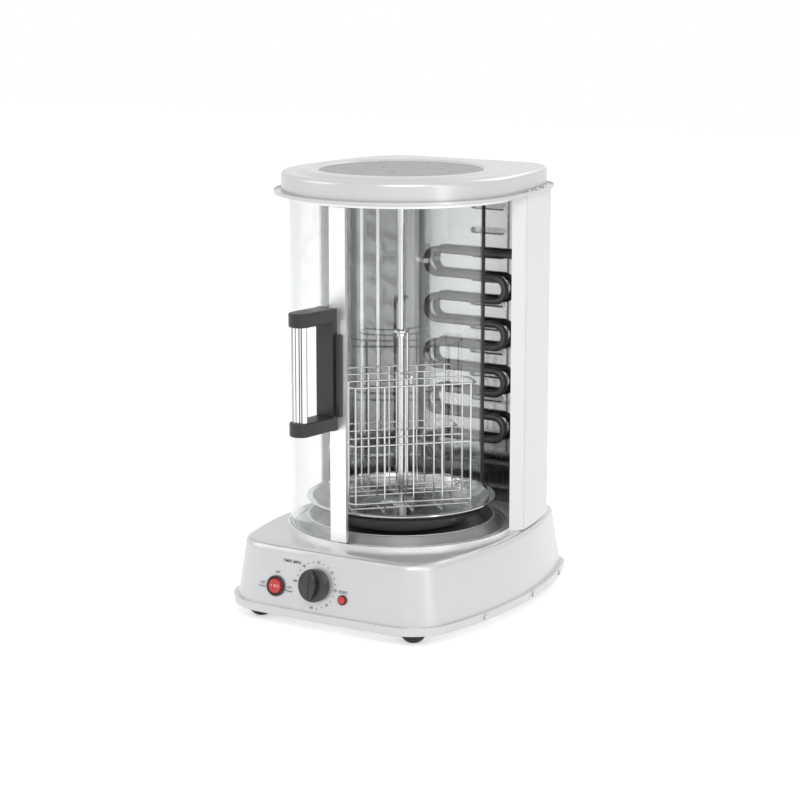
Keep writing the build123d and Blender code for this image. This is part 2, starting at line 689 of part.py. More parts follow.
def make_side_reflector(side):
    """Polished side wall with three pressed upright ribs; the right one lets the element through."""
    front = (LID_RADIUS - SIDE_REFLECTOR_GAP, SIDE_REFLECTOR_FRONT_Y)
    rear = (LINER_HALF + 1.5, SIDE_REFLECTOR_REAR_Y)
    along = (rear[0] - front[0], rear[1] - front[1])
    length = math.hypot(*along)
    unit = (along[0] / length, along[1] / length)
    normal = (unit[1], -unit[0])
    stations = [0.0, 24.0, 27.0, 30.0, 33.0, 48.0, 51.0, 54.0, 57.0, 72.0, 75.0, 78.0, 81.0, length]
    heights = [0.0, 0.0, 2.0, 2.0, 0.0, 0.0, 2.0, 2.0, 0.0, 0.0, 2.0, 2.0, 0.0, 0.0]
    points = []
    for s, h in zip(stations, heights):
        x = front[0] + unit[0] * s - normal[0] * h
        y = front[1] + unit[1] * s - normal[1] * h
        points.append((side * x, y))
    shift = (side * normal[0] * 0.8, normal[1] * 0.8)
    back = [(x + shift[0], y + shift[1]) for x, y in points[::-1]]
    face = make_face(Polyline(*points, *back, close=True))
    wall = extrude(Pos(0, 0, BASE_TOP_Z) * face, amount=CHAMBER_TOP_Z - BASE_TOP_Z)
    if side > 0:
        for z in (ELEMENT_TOP_Z, ELEMENT_TOP_Z - (ELEMENT_ROWS - 1) * ELEMENT_PITCH):
            wall = wall - Pos(100, ELEMENT_Y, z) * Rot(0, 90, 0) * Cylinder(INSULATOR_RADIUS + 0.4, 60)
    return wall


def make_ceiling():
    """Polished disc under the flange inside the glass ring."""
    disc = ring_z(TRACK_INNER - TRACK_WALL - 0.4, BEARING_RADIUS + 0.3, CHAMBER_TOP_Z - 1.0, CHAMBER_TOP_Z)
    return disc


# ================================================================ heater
def element_rows():
    """Heights of the element's straight rows, from the top."""
    return [ELEMENT_TOP_Z - i * ELEMENT_PITCH for i in range(ELEMENT_ROWS)]


def make_element():
    """Tubular heater bent to and fro in one upright plane, both ends leaving to the right."""
    rows = element_rows()
    left = ELEMENT_CENTRE_X - ELEMENT_HALF
    right = ELEMENT_CENTRE_X + ELEMENT_HALF
    bend = ELEMENT_PITCH / 2
    edges = []
    for i, z in enumerate(rows):
        end_x = ELEMENT_END_X if i in (0, ELEMENT_ROWS - 1) else right
        start, end = (end_x, left) if i % 2 == 0 else (left, end_x)
        edges.append(Line((start, ELEMENT_Y, z), (end, ELEMENT_Y, z)))
        if i < ELEMENT_ROWS - 1:
            x = left if i % 2 == 0 else right
            tip = x - bend if i % 2 == 0 else x + bend
            edges.append(ThreePointArc((x, ELEMENT_Y, z), (tip, ELEMENT_Y, z - bend), (x, ELEMENT_Y, z - 2 * bend)))
    section = Plane(origin=(ELEMENT_END_X, ELEMENT_Y, rows[0]), z_dir=(-1, 0, 0)) * Circle(ELEMENT_DIAMETER / 2)
    return sweep(section, path=Wire(edges))


def clip_heights():
    """Heights of the two left bends that are clipped to the reflector."""
    rows = element_rows()
    return [(rows[0] + rows[1]) / 2, (rows[-2] + rows[-1]) / 2]


CLIP_SCREW_RADIUS = 1.5
CLIP_SHEET = 1.0
CLIP_WIDTH = 5.0
CLIP_CLEARANCE = 0.4


def make_element_clips():
    """Bent straps round two left bends, each with a foot on the reflector."""
    tip_x = ELEMENT_CENTRE_X - ELEMENT_HALF - ELEMENT_PITCH / 2
    reach = ELEMENT_DIAMETER / 2 + CLIP_CLEARANCE
    pieces = []
    for z in clip_heights():
        loop = Pos(tip_x, ELEMENT_Y, z) * Cylinder(reach + CLIP_SHEET, CLIP_WIDTH)
        loop = loop - Pos(tip_x, ELEMENT_Y, z) * Cylinder(reach, CLIP_WIDTH + 1)
        low, high = z - CLIP_WIDTH / 2, z + CLIP_WIDTH / 2
        tab = box_between((tip_x - 15, ELEMENT_Y - 0.5, low), (tip_x - reach - 0.3, ELEMENT_Y + 0.5, high))
        leg = box_between((tip_x - 15, ELEMENT_Y - 0.5, low), (tip_x - 14, REFLECTOR_Y, high))
        foot = box_between((tip_x - 15, REFLECTOR_Y - 1, low), (tip_x - 7, REFLECTOR_Y, high))
        clip = loop + tab + leg + foot
        clip = clip - bar_y(CLIP_SCREW_RADIUS + 0.1, ELEMENT_Y - 3, ELEMENT_Y + 3, tip_x - 10, z)
        pieces.append(clip)
    return several(pieces)


def make_clip_screws():
    """Screws that close the two straps."""
    tip_x = ELEMENT_CENTRE_X - ELEMENT_HALF - ELEMENT_PITCH / 2
    pieces = []
    for z in clip_heights():
        head = bar_y(2.6, ELEMENT_Y - 2.4, ELEMENT_Y - 0.5, tip_x - 10, z)
        pieces.append(head + bar_y(CLIP_SCREW_RADIUS, ELEMENT_Y - 1, ELEMENT_Y + 4, tip_x - 10, z))
    return several(pieces)


def make_insulators():
    """Ceramic collars on the element's two ends, held in the right side wall."""
    pieces = []
    for z in (element_rows()[0], element_rows()[-1]):
        collar = Pos(ELEMENT_END_X + 3, ELEMENT_Y, z) * Rot(0, 90, 0) * Cylinder(INSULATOR_RADIUS, 9)
        recess = Pos(ELEMENT_END_X - 1, ELEMENT_Y, z) * Rot(0, 90, 0) * Cylinder(ELEMENT_DIAMETER / 2 + 0.1, 2)
        bore = Pos(ELEMENT_END_X + 3, ELEMENT_Y, z) * Rot(0, 90, 0) * Cylinder(1.6, 20)
        pieces.append(collar - recess - bore)
    return several(pieces)


def make_terminal_pins():
    """Threaded connection pins in the insulators."""
    pieces = []
    for z in (element_rows()[0], element_rows()[-1]):
        pieces.append(Pos(ELEMENT_END_X + 5.5, ELEMENT_Y, z) * Rot(0, 90, 0) * Cylinder(1.5, 11))
    return several(pieces)


# ================================================================ lid
def make_flange():
    """Flat plate over glass and cabinet with a small turned-up edge."""
    plate = extrude(Pos(0, 0, CHAMBER_TOP_Z) * lid_outline(FLANGE_OVERHANG), amount=FLANGE_THICKNESS)
    plate = fillet(plate.edges().group_by(Axis.Z)[0], 1.0)
    plate = plate - tube_z(BEARING_RADIUS + SOCKET_CLEARANCE, CHAMBER_TOP_Z - 1, FLANGE_TOP_Z + 1)
    lip = extrude(Pos(0, 0, FLANGE_TOP_Z - 0.2) * lid_outline(FLANGE_OVERHANG), amount=1.6)
    lip = lip - extrude(Pos(0, 0, FLANGE_TOP_Z - 1) * lid_outline(FLANGE_OVERHANG - 1.4), amount=4)
    plate = plate + lip
    for x, y in FLANGE_SCREWS:
        plate = plate - tube_z(1.7, CHAMBER_TOP_Z - 1, FLANGE_TOP_Z + 1, x, y)
    return plate


def flange_screw_places():
    """Screw places on the flange over the cabinet's walls, just outside the lid."""
    grow = (FLANGE_OVERHANG - 1.4) / 2
    centre = LID_RADIUS - LID_SIDE_RADIUS
    places = []
    for y in (50.0, 76.0, 102.0):
        x = centre + math.sqrt((LID_SIDE_RADIUS + grow) ** 2 - y * y)
        places += [(x, y), (-x, y)]
    for x in (-55.0, 55.0):
        places.append((x, LID_REAR_Y + grow))
    return places


FLANGE_SCREWS = flange_screw_places()


def make_flange_screws():
    """Round-headed screws along the flange."""
    pieces = []
    for x, y in FLANGE_SCREWS:
        head = Pos(x, y, FLANGE_TOP_Z) * (Sphere(2.6) & Pos(0, 0, 1.3) * Box(6, 6, 2.6))
        pieces.append(head + tube_z(1.5, CHAMBER_TOP_Z + 0.2, FLANGE_TOP_Z + 0.2, x, y))
    return several(pieces)


def make_lid():
    """Hollow lid with a rounded edge, a raised round bead and a sunk centre disc."""
    outer = extrude(Pos(0, 0, FLANGE_TOP_Z) * lid_outline(0), amount=LID_HEIGHT)
    outer = fillet([e for e in outer.edges() if abs(e.center().Z - LID_PLATE_Z) < 0.01], LID_EDGE_RADIUS)
    inner = extrude(Pos(0, 0, FLANGE_TOP_Z - 1) * lid_outline(-LID_WALL), amount=LID_HEIGHT + 1 - LID_WALL)
    inner = fillet(inner.edges().group_by(Axis.Z)[-1], LID_EDGE_RADIUS - LID_WALL)
    bead_top = LID_PLATE_Z + LID_BEAD_HEIGHT
    bead = revolved(
        [
            (LID_BEAD_OUTER, LID_PLATE_Z - 0.4),
            (LID_BEAD_OUTER - 6, bead_top - 0.8),
            (LID_BEAD_OUTER - 11, bead_top),
            (LID_DISC_RADIUS + 6, bead_top),
            (LID_DISC_RADIUS + 3, bead_top - 0.6),
            (LID_DISC_RADIUS, LID_PLATE_Z + 0.5),
            (LID_DISC_RADIUS, LID_PLATE_Z - 0.4),
        ]
    )
    return outer + bead - inner


def make_lid_disc():
    """Thin round plate laid in the lid's sunk centre."""
    disc = tube_z(LID_DISC_RADIUS - 0.3, LID_PLATE_Z, LID_PLATE_Z + 0.8)
    for x, y in LID_DISC_RIVETS:
        disc = disc + Pos(x, y, LID_PLATE_Z + 0.7) * Cylinder(1.6, 0.8)
    return disc


LID_DISC_RIVETS = [(-30.0, 10.0), (18.0, 28.0), (12.0, -38.0)]


def make_top_bearing():
    """Flanged bush that guides the spit's head and leaves it room to lift."""
    low = CHAMBER_TOP_Z - 2.5
    top = FLANGE_TOP_Z + BEARING_DEPTH
    bush = tube_z(BEARING_RADIUS, low, top)
    bore = tube_z(SPIT_HEAD_RADIUS + RUNNING_CLEARANCE, low - 1, SPIT_TOP_Z + SPIT_LIFT + 1.0)
    return chamfer(bush.edges().group_by(Axis.Z)[0], 0.8) - bore


SPIT_TOP_Z = CHAMBER_TOP_Z + 3.5


# ================================================================ door
def glass_sector(inner, outer, low, high, start, arc):
    """Curved wall piece from an angle onwards, counted towards +X from the front."""
    steps = max(2, math.ceil(arc / 60))
    piece_arc = arc / steps
    wall = None
    for i in range(steps):
        a0 = start + i * piece_arc
        middle = a0 + piece_arc / 2
        a1 = a0 + piece_arc
        face = make_face(
            [
                ThreePointArc(polar(outer, a0), polar(outer, middle), polar(outer, a1)),
                Line(polar(outer, a1), polar(inner, a1)),
                ThreePointArc(polar(inner, a1), polar(inner, middle), polar(inner, a0)),
                Line(polar(inner, a0), polar(outer, a0)),
            ]
        )
        part = extrude(Pos(0, 0, low) * face, amount=high - low)
        wall = part if wall is None else wall + part
    return wall


GLASS_START = DOOR_FREE_EDGE - DOOR_ARC
EDGE_LAP = 0.6


def make_door_glass():
    """Curved glass that runs round the front, the left and the back of the chamber."""
    start = GLASS_START + EDGE_LAP
    arc = DOOR_ARC - STRIP_ARC / 2 - EDGE_LAP
    return glass_sector(GLASS_INNER, GLASS_OUTER, GLASS_BOTTOM_Z, GLASS_TOP_Z, start, arc)


def make_free_edge_strip():
    """Upright moulding on the door's free edge, slotted over the glass."""
    start = DOOR_FREE_EDGE - STRIP_ARC
    inner = GLASS_INNER - STRIP_PROUD
    body = glass_sector(inner, STRIP_OUTER, STRIP_BOTTOM_Z, STRIP_TOP_Z, start, STRIP_ARC)
    gap = 0.05
    slot = glass_sector(GLASS_INNER - gap, GLASS_OUTER + gap, 0, 600, start - 1, 1 + STRIP_ARC / 2 + 0.05)
    return body - slot


STRIP_BOTTOM_Z = BASE_TOP_Z + TRACK_LIP_HEIGHT + 0.6
STRIP_TOP_Z = CHAMBER_TOP_Z - TRACK_LIP_HEIGHT - 0.6


def make_rear_edge_strip():
    """Narrow dark edging on the glass's other upright edge."""
    inner = GLASS_INNER - 0.6
    outer = GLASS_OUTER + 0.6
    body = glass_sector(inner, outer, STRIP_BOTTOM_Z, STRIP_TOP_Z, GLASS_START, REAR_STRIP_ARC)
    gap = 0.05
    slot = glass_sector(GLASS_INNER - gap, GLASS_OUTER + gap, 0, 600, GLASS_START + EDGE_LAP - 0.03, 3)
    return body - slot


def make_door_guides():
    """Small plastic shoes under and over the strip that run in the two tracks."""
    pieces = []
    start = DOOR_FREE_EDGE - STRIP_ARC / 2 + 0.1
    arc = STRIP_ARC / 2 - 0.4
    for low, high in (
        (GLASS_BOTTOM_Z, STRIP_BOTTOM_Z),
        (STRIP_TOP_Z, GLASS_TOP_Z),
    ):
        pieces.append(glass_sector(GLASS_INNER, GLASS_OUTER, low, high, start, arc))
    return several(pieces)


def place_on_door(shape):
    """Carry a piece modelled at the front (outwards is -Y) to the handle's angle."""
    return at_angle(shape, HANDLE_ANGLE)


PLATE_FRONT_Y = -(STRIP_OUTER + 0.3 + HANDLE_PLATE_THICKNESS)
PLATE_LIP = 7.0
PLATE_LIP_RISE = 16.0
PLATE_LIP_DROP = 29.0
SEAT_GAP = 0.05


def make_handle_plate():
    """Back plate of the handle, hollowed to the glass, with a lip over the strip."""
    half = HANDLE_WIDTH / 2
    plate = box_between((-half, PLATE_FRONT_Y, HANDLE_BOTTOM_Z), (half, -GLASS_RADIUS + 6, HANDLE_TOP_Z))
    low = HANDLE_BOTTOM_Z + PLATE_LIP_RISE
    high = HANDLE_TOP_Z - PLATE_LIP_DROP
    lip = box_between((half - 1, PLATE_FRONT_Y + 2.5, low), (half + PLATE_LIP, -GLASS_RADIUS + 6, high))
    plate = plate + lip
    seat = tube_z(STRIP_OUTER + SEAT_GAP, 0, 600)
    plate = plate - seat
    for z in HANDLE_SCREW_HEIGHTS:
        plate = plate - bar_y(1.7, -200, -100, 0, z)
    return place_on_door(plate)


HANDLE_SCREW_HEIGHTS = (HANDLE_BOTTOM_Z + HANDLE_ARM_HEIGHT / 2, HANDLE_TOP_Z - HANDLE_ARM_HEIGHT / 2)
GRIP_CENTRE_Y = PLATE_FRONT_Y - HANDLE_REACH + 14.0


def make_handle_arm(low):
    """Rounded arm from the back plate out round the grip's end."""
    half = HANDLE_WIDTH / 2
    outline = Pos(0, (PLATE_FRONT_Y + GRIP_CENTRE_Y) / 2) * Rectangle(HANDLE_WIDTH, PLATE_FRONT_Y - GRIP_CENTRE_Y)
    nose = Pos(0, GRIP_CENTRE_Y) * Ellipse(half, GRIP_THICKNESS / 2 + 4.5)
    arm = extrude(Pos(0, 0, low) * (outline + nose), amount=HANDLE_ARM_HEIGHT)
    arm = fillet([e for e in arm.edges().group_by(Axis.Z)[0] + arm.edges().group_by(Axis.Z)[-1]], 1.6)
    arm = arm - box_between((-40, PLATE_FRONT_Y, 0), (40, 0, 600))
    pocket = extrude(Pos(0, GRIP_CENTRE_Y, 0) * Ellipse(GRIP_WIDTH / 2 + 0.05, GRIP_THICKNESS / 2 + 0.05), amount=600)
    depth = HANDLE_ARM_HEIGHT - GRIP_SOCKET
    if low == HANDLE_BOTTOM_Z:
        pocket = pocket & box_between((-40, -300, low + depth), (40, 0, low + 60))
    else:
        pocket = pocket & box_between((-40, -300, low - 60), (40, 0, low + GRIP_SOCKET))
    arm = arm - pocket
    z = low + HANDLE_ARM_HEIGHT / 2
    return place_on_door(arm - bar_y(1.5, PLATE_FRONT_Y - 12, PLATE_FRONT_Y + 5, 0, z))


GRIP_SOCKET = 6.5


def make_handle_grip():
    """Oval aluminium bar with two long grooves, held in the two arms."""
    low = HANDLE_BOTTOM_Z + HANDLE_ARM_HEIGHT - GRIP_SOCKET
    high = HANDLE_TOP_Z - HANDLE_ARM_HEIGHT + GRIP_SOCKET
    face = Pos(0, GRIP_CENTRE_Y) * Ellipse(GRIP_WIDTH / 2, GRIP_THICKNESS / 2)
    for x in (-4.6, 4.6):
        depth_y = GRIP_CENTRE_Y - GRIP_THICKNESS / 2 * math.sqrt(1 - (2 * x / GRIP_WIDTH) ** 2)
        face = face - Pos(x, depth_y) * Rectangle(1.0, 1.6)
    return place_on_door(extrude(Pos(0, 0, low) * face, amount=high - low))


def make_handle_screws():
    """Screws from inside the plate into the two arms."""
    pieces = []
    for z in HANDLE_SCREW_HEIGHTS:
        pieces.append(bar_y(1.45, PLATE_FRONT_Y - 10, PLATE_FRONT_Y + HANDLE_PLATE_THICKNESS - 1.0, 0, z))
    return place_on_door(several(pieces))


# ================================================================ spit and baskets
def make_spit_rod():
    """Spit: square foot, round rod with a rest collar and a thicker head in the top bush."""
    rod = tube_z(SPIT_RADIUS, HUB_TOP_Z - 1, SPIT_JOINT_Z + 1)
    square_z = (SOCKET_FLOOR_Z + HUB_TOP_Z) / 2
    rod = rod + Pos(0, 0, square_z) * Box(SPIT_SQUARE, SPIT_SQUARE, HUB_TOP_Z - SOCKET_FLOOR_Z)
    rod = rod + tube_z(SPIT_HEAD_RADIUS, SPIT_JOINT_Z, SPIT_TOP_Z)
    rod = rod + tube_z(SPIT_RADIUS + 2.0, LIFT_RING_Z - LIFT_ROD_RADIUS - 4, LIFT_RING_Z - LIFT_ROD_RADIUS)
    joint_pin = Pos(0, 0, SPIT_JOINT_Z + 4) * Rot(90, 0, 0) * Cylinder(1.0, 2 * SPIT_HEAD_RADIUS + 2)
    rod = rod + joint_pin
    return chamfer(rod.edges().group_by(Axis.Z)[-1], 0.6)


def wire_loop(length, depth, z):
    """Rectangular wire loop with cut corners in a level plane."""
    a = length / 2
    p = depth / 2
    c = BASKET_CHAMFER
    corners = [
        (a, -p + c), (a, p - c), (a - c, p), (-a + c, p),
        (-a, p - c), (-a, -p + c), (-a + c, -p), (a - c, -p),
    ]
    points = [(x, y, z) for x, y in corners]
    loop = None
    for start, end in zip(points, points[1:] + points[:1]):
        bar = bar_between(start, end, WIRE / 2)
        loop = bar if loop is None else loop + bar
    for point in points:
        loop = loop + Pos(*point) * Sphere(WIRE / 2)
    return loop


def make_basket():
    """Welded wire basket: three level loops, upright U wires and one floor wire, as flat panels."""
    bottom = BASKET_TOP_Z - 2 * BASKET_LOOP_PITCH
    foot = bottom - BASKET_FOOT_DROP
    loops = [wire_loop(BASKET_LENGTH, BASKET_DEPTH, BASKET_TOP_Z - i * BASKET_LOOP_PITCH) for i in range(3)]
    inside = BASKET_DEPTH / 2 - WIRE * 0.8
    uprights = []
    for i in range(-2, 3):
        x = i * BASKET_UPRIGHT_PITCH
        uprights.append(tube_z(WIRE / 2, foot, BASKET_TOP_Z + WIRE * 0.3, x, -inside))
        uprights.append(tube_z(WIRE / 2, foot, BASKET_TOP_Z + WIRE * 0.3, x, inside))
        uprights.append(bar_between((x, -inside, foot), (x, inside, foot), WIRE / 2))
        uprights.append(Pos(x, -inside, foot) * Sphere(WIRE / 2))
        uprights.append(Pos(x, inside, foot) * Sphere(WIRE / 2))
    reach = 2 * BASKET_UPRIGHT_PITCH + WIRE
    floor_wire = bar_between((-reach, 0, foot + WIRE * 0.8), (reach, 0, foot + WIRE * 0.8), WIRE / 2)
    whole = fused(loops + uprights + [floor_wire])
    panel_y = inside - WIRE / 2 - BASKET_PANEL_SEAM
    far = BASKET_LENGTH
    near_side = whole & box_between((-far, -far, 0), (far, -panel_y, 2 * BASKET_TOP_Z))
    far_side = whole & box_between((-far, panel_y, 0), (far, far, 2 * BASKET_TOP_Z))
    middle = whole & box_between((-far, -panel_y, 0), (far, panel_y, 2 * BASKET_TOP_Z))
    return near_side.solids() + far_side.solids() + middle.solids()


def place_basket(panels, side):
    """Set a basket beside the spit, long side turned from X by the basket angle."""
    place = Rot(0, 0, BASKET_ANGLE) * Pos(0, side * BASKET_OFFSET, 0)
    return Compound(children=[place * panel for panel in panels])


def make_lifting_rod():
    """Thin rod beside the spit with a ring at its top and two hooks over the baskets' top loops."""
    top = LIFT_RING_Z
    low = BASKET_TOP_Z - 2 * BASKET_LOOP_PITCH
    rod = tube_z(LIFT_ROD_RADIUS, low, top, LIFT_ROD_OFFSET, 0)
    rod = chamfer(rod.edges().group_by(Axis.Z)[0], 0.4)
    rod = rod + Pos(0, 0, top) * Torus(LIFT_ROD_OFFSET, LIFT_RING_WIRE)
    reach = BASKET_OFFSET - BASKET_DEPTH / 2 + WIRE / 2 + 0.6
    bar_z = BASKET_TOP_Z + WIRE / 2 + LIFT_BAR_RADIUS + 0.05
    rod = rod + bar_between((LIFT_ROD_OFFSET, -reach, bar_z), (LIFT_ROD_OFFSET, reach, bar_z), LIFT_BAR_RADIUS)
    for side in (-1, 1):
        y = side * (BASKET_OFFSET - BASKET_DEPTH / 2 - WIRE / 2 - LIFT_ROD_RADIUS - 0.2)
        rod = rod + tube_z(LIFT_HOOK_RADIUS, bar_z - 8, bar_z, LIFT_ROD_OFFSET, y)
    return Rot(0, 0, BASKET_ANGLE) * rod


# ================================================================ controls
def make_switch_body():
    """Round power switch: flat bezel on the wall and a body behind it with two blades."""
    bezel = Pos(0, 0, 1.1) * Cylinder(SWITCH_BEZEL_RADIUS, 2.2)
    bezel = fillet(bezel.edges().group_by(Axis.Z)[-1], 0.8)
    body = Pos(0, 0, -9.0) * Cylinder(SWITCH_BODY_RADIUS, 18.5)
    body = bezel + body
    cavity = Pos(0, 0, -1.0) * Cylinder(ROCKER_RADIUS + 0.4, 9.0)
    body = body - cavity
    for x in (-5.0, 0.0, 5.0):
        body = body + Pos(x, 0, -21.0) * Box(0.8, 4.8, 6.0)
    for side in (-1, 1):
        pin = Pos(0, side * (ROCKER_RADIUS + 0.2), ROCKER_AXIS_Z) * Rot(90, 0, 0) * Cylinder(0.9, 1.4)
        body = body + pin
    return on_front_wall(body, SWITCH_X, SWITCH_Z)


ROCKER_AXIS_Z = -1.0
ROCKER_TILT = 10.0


def make_rocker():
    """Three-position rocker that tilts about an upright pin."""
    dome = Pos(0, 0, 0.4) * Cylinder(ROCKER_RADIUS, 5.4)
    hollow = Pos(0, 0, 24.0) * Sphere(21.6)
    rocker = dome - hollow
    rocker = rocker & Pos(0, 0, ROCKER_AXIS_Z) * Sphere(ROCKER_RADIUS + 0.25)
    for side in (-1, 1):
        socket = Pos(0, side * ROCKER_RADIUS, ROCKER_AXIS_Z) * Rot(90, 0, 0) * Cylinder(0.97, 3.4)
        rocker = rocker - socket
    return on_front_wall(rocker, SWITCH_X, SWITCH_Z)


def make_timer_knob():
    """Timer knob: flat skirt, domed body with a lens-shaped grip and its shaft."""
    skirt = Pos(0, 0, KNOB_GAP + KNOB_SKIRT / 2) * Cylinder(KNOB_RADIUS, KNOB_SKIRT)
    skirt = fillet(skirt.edges().group_by(Axis.Z)[-1], 1.2)
    lens = Circle(24.0) & Pos(33.0, 0) * Circle(24.0)
    lens = Pos(-16.5, 0) * lens
    grip = extrude(Pos(0, 0, KNOB_GAP + KNOB_SKIRT - 0.5) * lens, amount=KNOB_REACH - KNOB_SKIRT + 0.5, taper=3)
    grip = grip & Pos(0, 0, 10) * Cylinder(KNOB_RADIUS - KNOB_GRIP_INSET, 60)
    knob = skirt + Rot(0, 0, KNOB_GRIP_TURN) * grip
    shaft = Pos(0, 0, -8.0) * Cylinder(KNOB_SHAFT_RADIUS, 18.0)
    return on_front_wall(knob + shaft, KNOB_X, KNOB_Z)


KNOB_GAP = 0.6
KNOB_GRIP_TURN = -5.0
KNOB_GRIP_INSET = 2.6


def make_timer_body():
    """Spring-wound timer behind the wall with a bush round the knob's shaft."""
    low = -BASE_WALL - 0.3
    case = Pos(0, 0, low - 14.0) * Box(42, 38, 26)
    case = fillet(case.edges().filter_by(Axis.Z), 4)
    bush = Pos(0, 0, low - 0.6) * Cylinder(KNOB_SHAFT_RADIUS + 3.0, 1.4)
    bore = Pos(0, 0, -8.0) * Cylinder(KNOB_SHAFT_RADIUS + RUNNING_CLEARANCE, 20.0)
    lugs = Pos(0, 0, low - 1.7) * Box(54, 12, 1.4)
    bell = Pos(0, 0, low - 30.0) * Cylinder(14, 8)
    return on_front_wall(case + bush + lugs + bell - bore, KNOB_X, KNOB_Z)


def make_reset_body():
    """Resettable thermal cut-out behind the wall with a round bezel in front."""
    bezel = Pos(0, 0, 0.9) * Cylinder(RESET_BEZEL_RADIUS, 1.8)
    sleeve = Pos(0, 0, -3.0) * Cylinder(RESET_BUTTON_RADIUS + RESET_SLEEVE_WALL, 8.0)
    case = Pos(0, 0, -13.0) * Box(16, 22, 14)
    body = bezel + sleeve + case
    bore = Pos(0, 0, -2.0) * Cylinder(RESET_BUTTON_RADIUS + 0.08, 10.0)
    return on_front_wall(body - bore, RESET_X, RESET_Z)


def make_reset_button():
    """Round push button with a shallow dished face."""
    button = Pos(0, 0, -0.2) * Cylinder(RESET_BUTTON_RADIUS, 7.0)
    button = fillet(button.edges().group_by(Axis.Z)[-1], 0.6)
    return on_front_wall(button, RESET_X, RESET_Z)


def make_terminal_block():
    """Mains terminal block on the bottom plate near the cord inlet."""
    floor_z = FOOT_HEIGHT + BOTTOM_PLATE_THICKNESS
    block = box_between((INLET_X - 22, RIM_REAR_Y - 62, floor_z), (INLET_X + 22, RIM_REAR_Y - 44, floor_z + 16))
    for i in range(-1, 2):
        block = block - tube_z(3.0, floor_z + 8, floor_z + 17, INLET_X + i * 12, RIM_REAR_Y - 53)
    return block


def make_cord_inlet():
    """Round grommet in the rear wall for the supply lead."""
    flange = Pos(0, 0, 1.5) * Cylinder(INLET_RADIUS + 3, 3)
    body = Pos(0, 0, -3) * Cylinder(INLET_RADIUS, 8)
    lock = Pos(0, 0, -BASE_WALL - 2.5) * Cylinder(INLET_RADIUS + 2, 4)
    grommet = fillet(flange.edges().group_by(Axis.Z)[-1], 1.0) + body + lock - Cylinder(3.6, 40)
    return on_rear_wall(grommet, INLET_X, INLET_Z)


# ================================================================ write every node
def main():
    """Build and write all nodes."""
    basket = make_basket()
    nodes = {
        "base_shell": make_base_shell(),
        "base_bottom_plate": make_bottom_plate(),
        "rubber_feet": make_feet(),
        "foot_screws": make_foot_screws(),
        "rim_screws": make_rim_screws(),
        "floor_pan": make_floor_pan(),
        "floor_pan_screws": make_pan_screws(),
        "lower_glass_track": make_track(BASE_TOP_Z, 1),
        "upper_glass_track": make_track(CHAMBER_TOP_Z, -1),
        "rear_housing": make_housing(),
        "rear_cover": make_rear_cover(),
        "rear_cover_screws": make_rear_cover_screws(),
        "housing_trim_left": make_trim(-1),
        "housing_trim_right": make_trim(1),
        "rear_liner": make_liner(),
        "slotted_reflector": make_rear_reflector(),
        "side_reflector_left": make_side_reflector(-1),
        "side_reflector_right": make_side_reflector(1),
        "chamber_ceiling": make_ceiling(),
        "heating_element": make_element(),
        "element_clips": make_element_clips(),
        "element_clip_screws": make_clip_screws(),
        "element_insulators": make_insulators(),
        "element_pins": make_terminal_pins(),
        "lid_flange": make_flange(),
        "lid_flange_screws": make_flange_screws(),
        "lid_cover": make_lid(),
        "lid_disc": make_lid_disc(),
        "top_bearing": make_top_bearing(),
        "spit_motor": make_motor(),
        "spit_gearbox": make_gearbox(),
        "motor_bracket": make_motor_bracket(),
        "motor_bracket_screws": make_motor_screws(),
        "drive_hub": make_drive_hub(),
        "drip_tray": make_drip_tray(),
        "spit_rod": make_spit_rod(),
        "basket_front": place_basket(basket, -1),
        "basket_rear": place_basket(basket, 1),
        "basket_lifting_rod": make_lifting_rod(),
        "door_glass": make_door_glass(),
        "door_edge_strip": make_free_edge_strip(),
        "door_rear_edging": make_rear_edge_strip(),
        "door_guide_shoes": make_door_guides(),
        "handle_back_plate": make_handle_plate(),
        "handle_upper_arm": make_handle_arm(HANDLE_TOP_Z - HANDLE_ARM_HEIGHT),
        "handle_lower_arm": make_handle_arm(HANDLE_BOTTOM_Z),
        "handle_grip": make_handle_grip(),
        "handle_screws": make_handle_screws(),
        "power_switch_body": make_switch_body(),
        "power_rocker": make_rocker(),
        "timer_body": make_timer_body(),
        "timer_knob": make_timer_knob(),
        "thermal_cutout": make_reset_body(),
        "reset_button": make_reset_button(),
        "terminal_block": make_terminal_block(),
        "cord_inlet": make_cord_inlet(),
    }
    for node, shape in nodes.items():
        save(node, shape)


main()
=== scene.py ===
"""Looks of an upright electric skewer grill: finishes, printed lettering, screws and studio."""

from __future__ import annotations

import json
import logging
import math
from dataclasses import dataclass, field
from enum import Enum

import bpy
from mathutils import Matrix, Vector

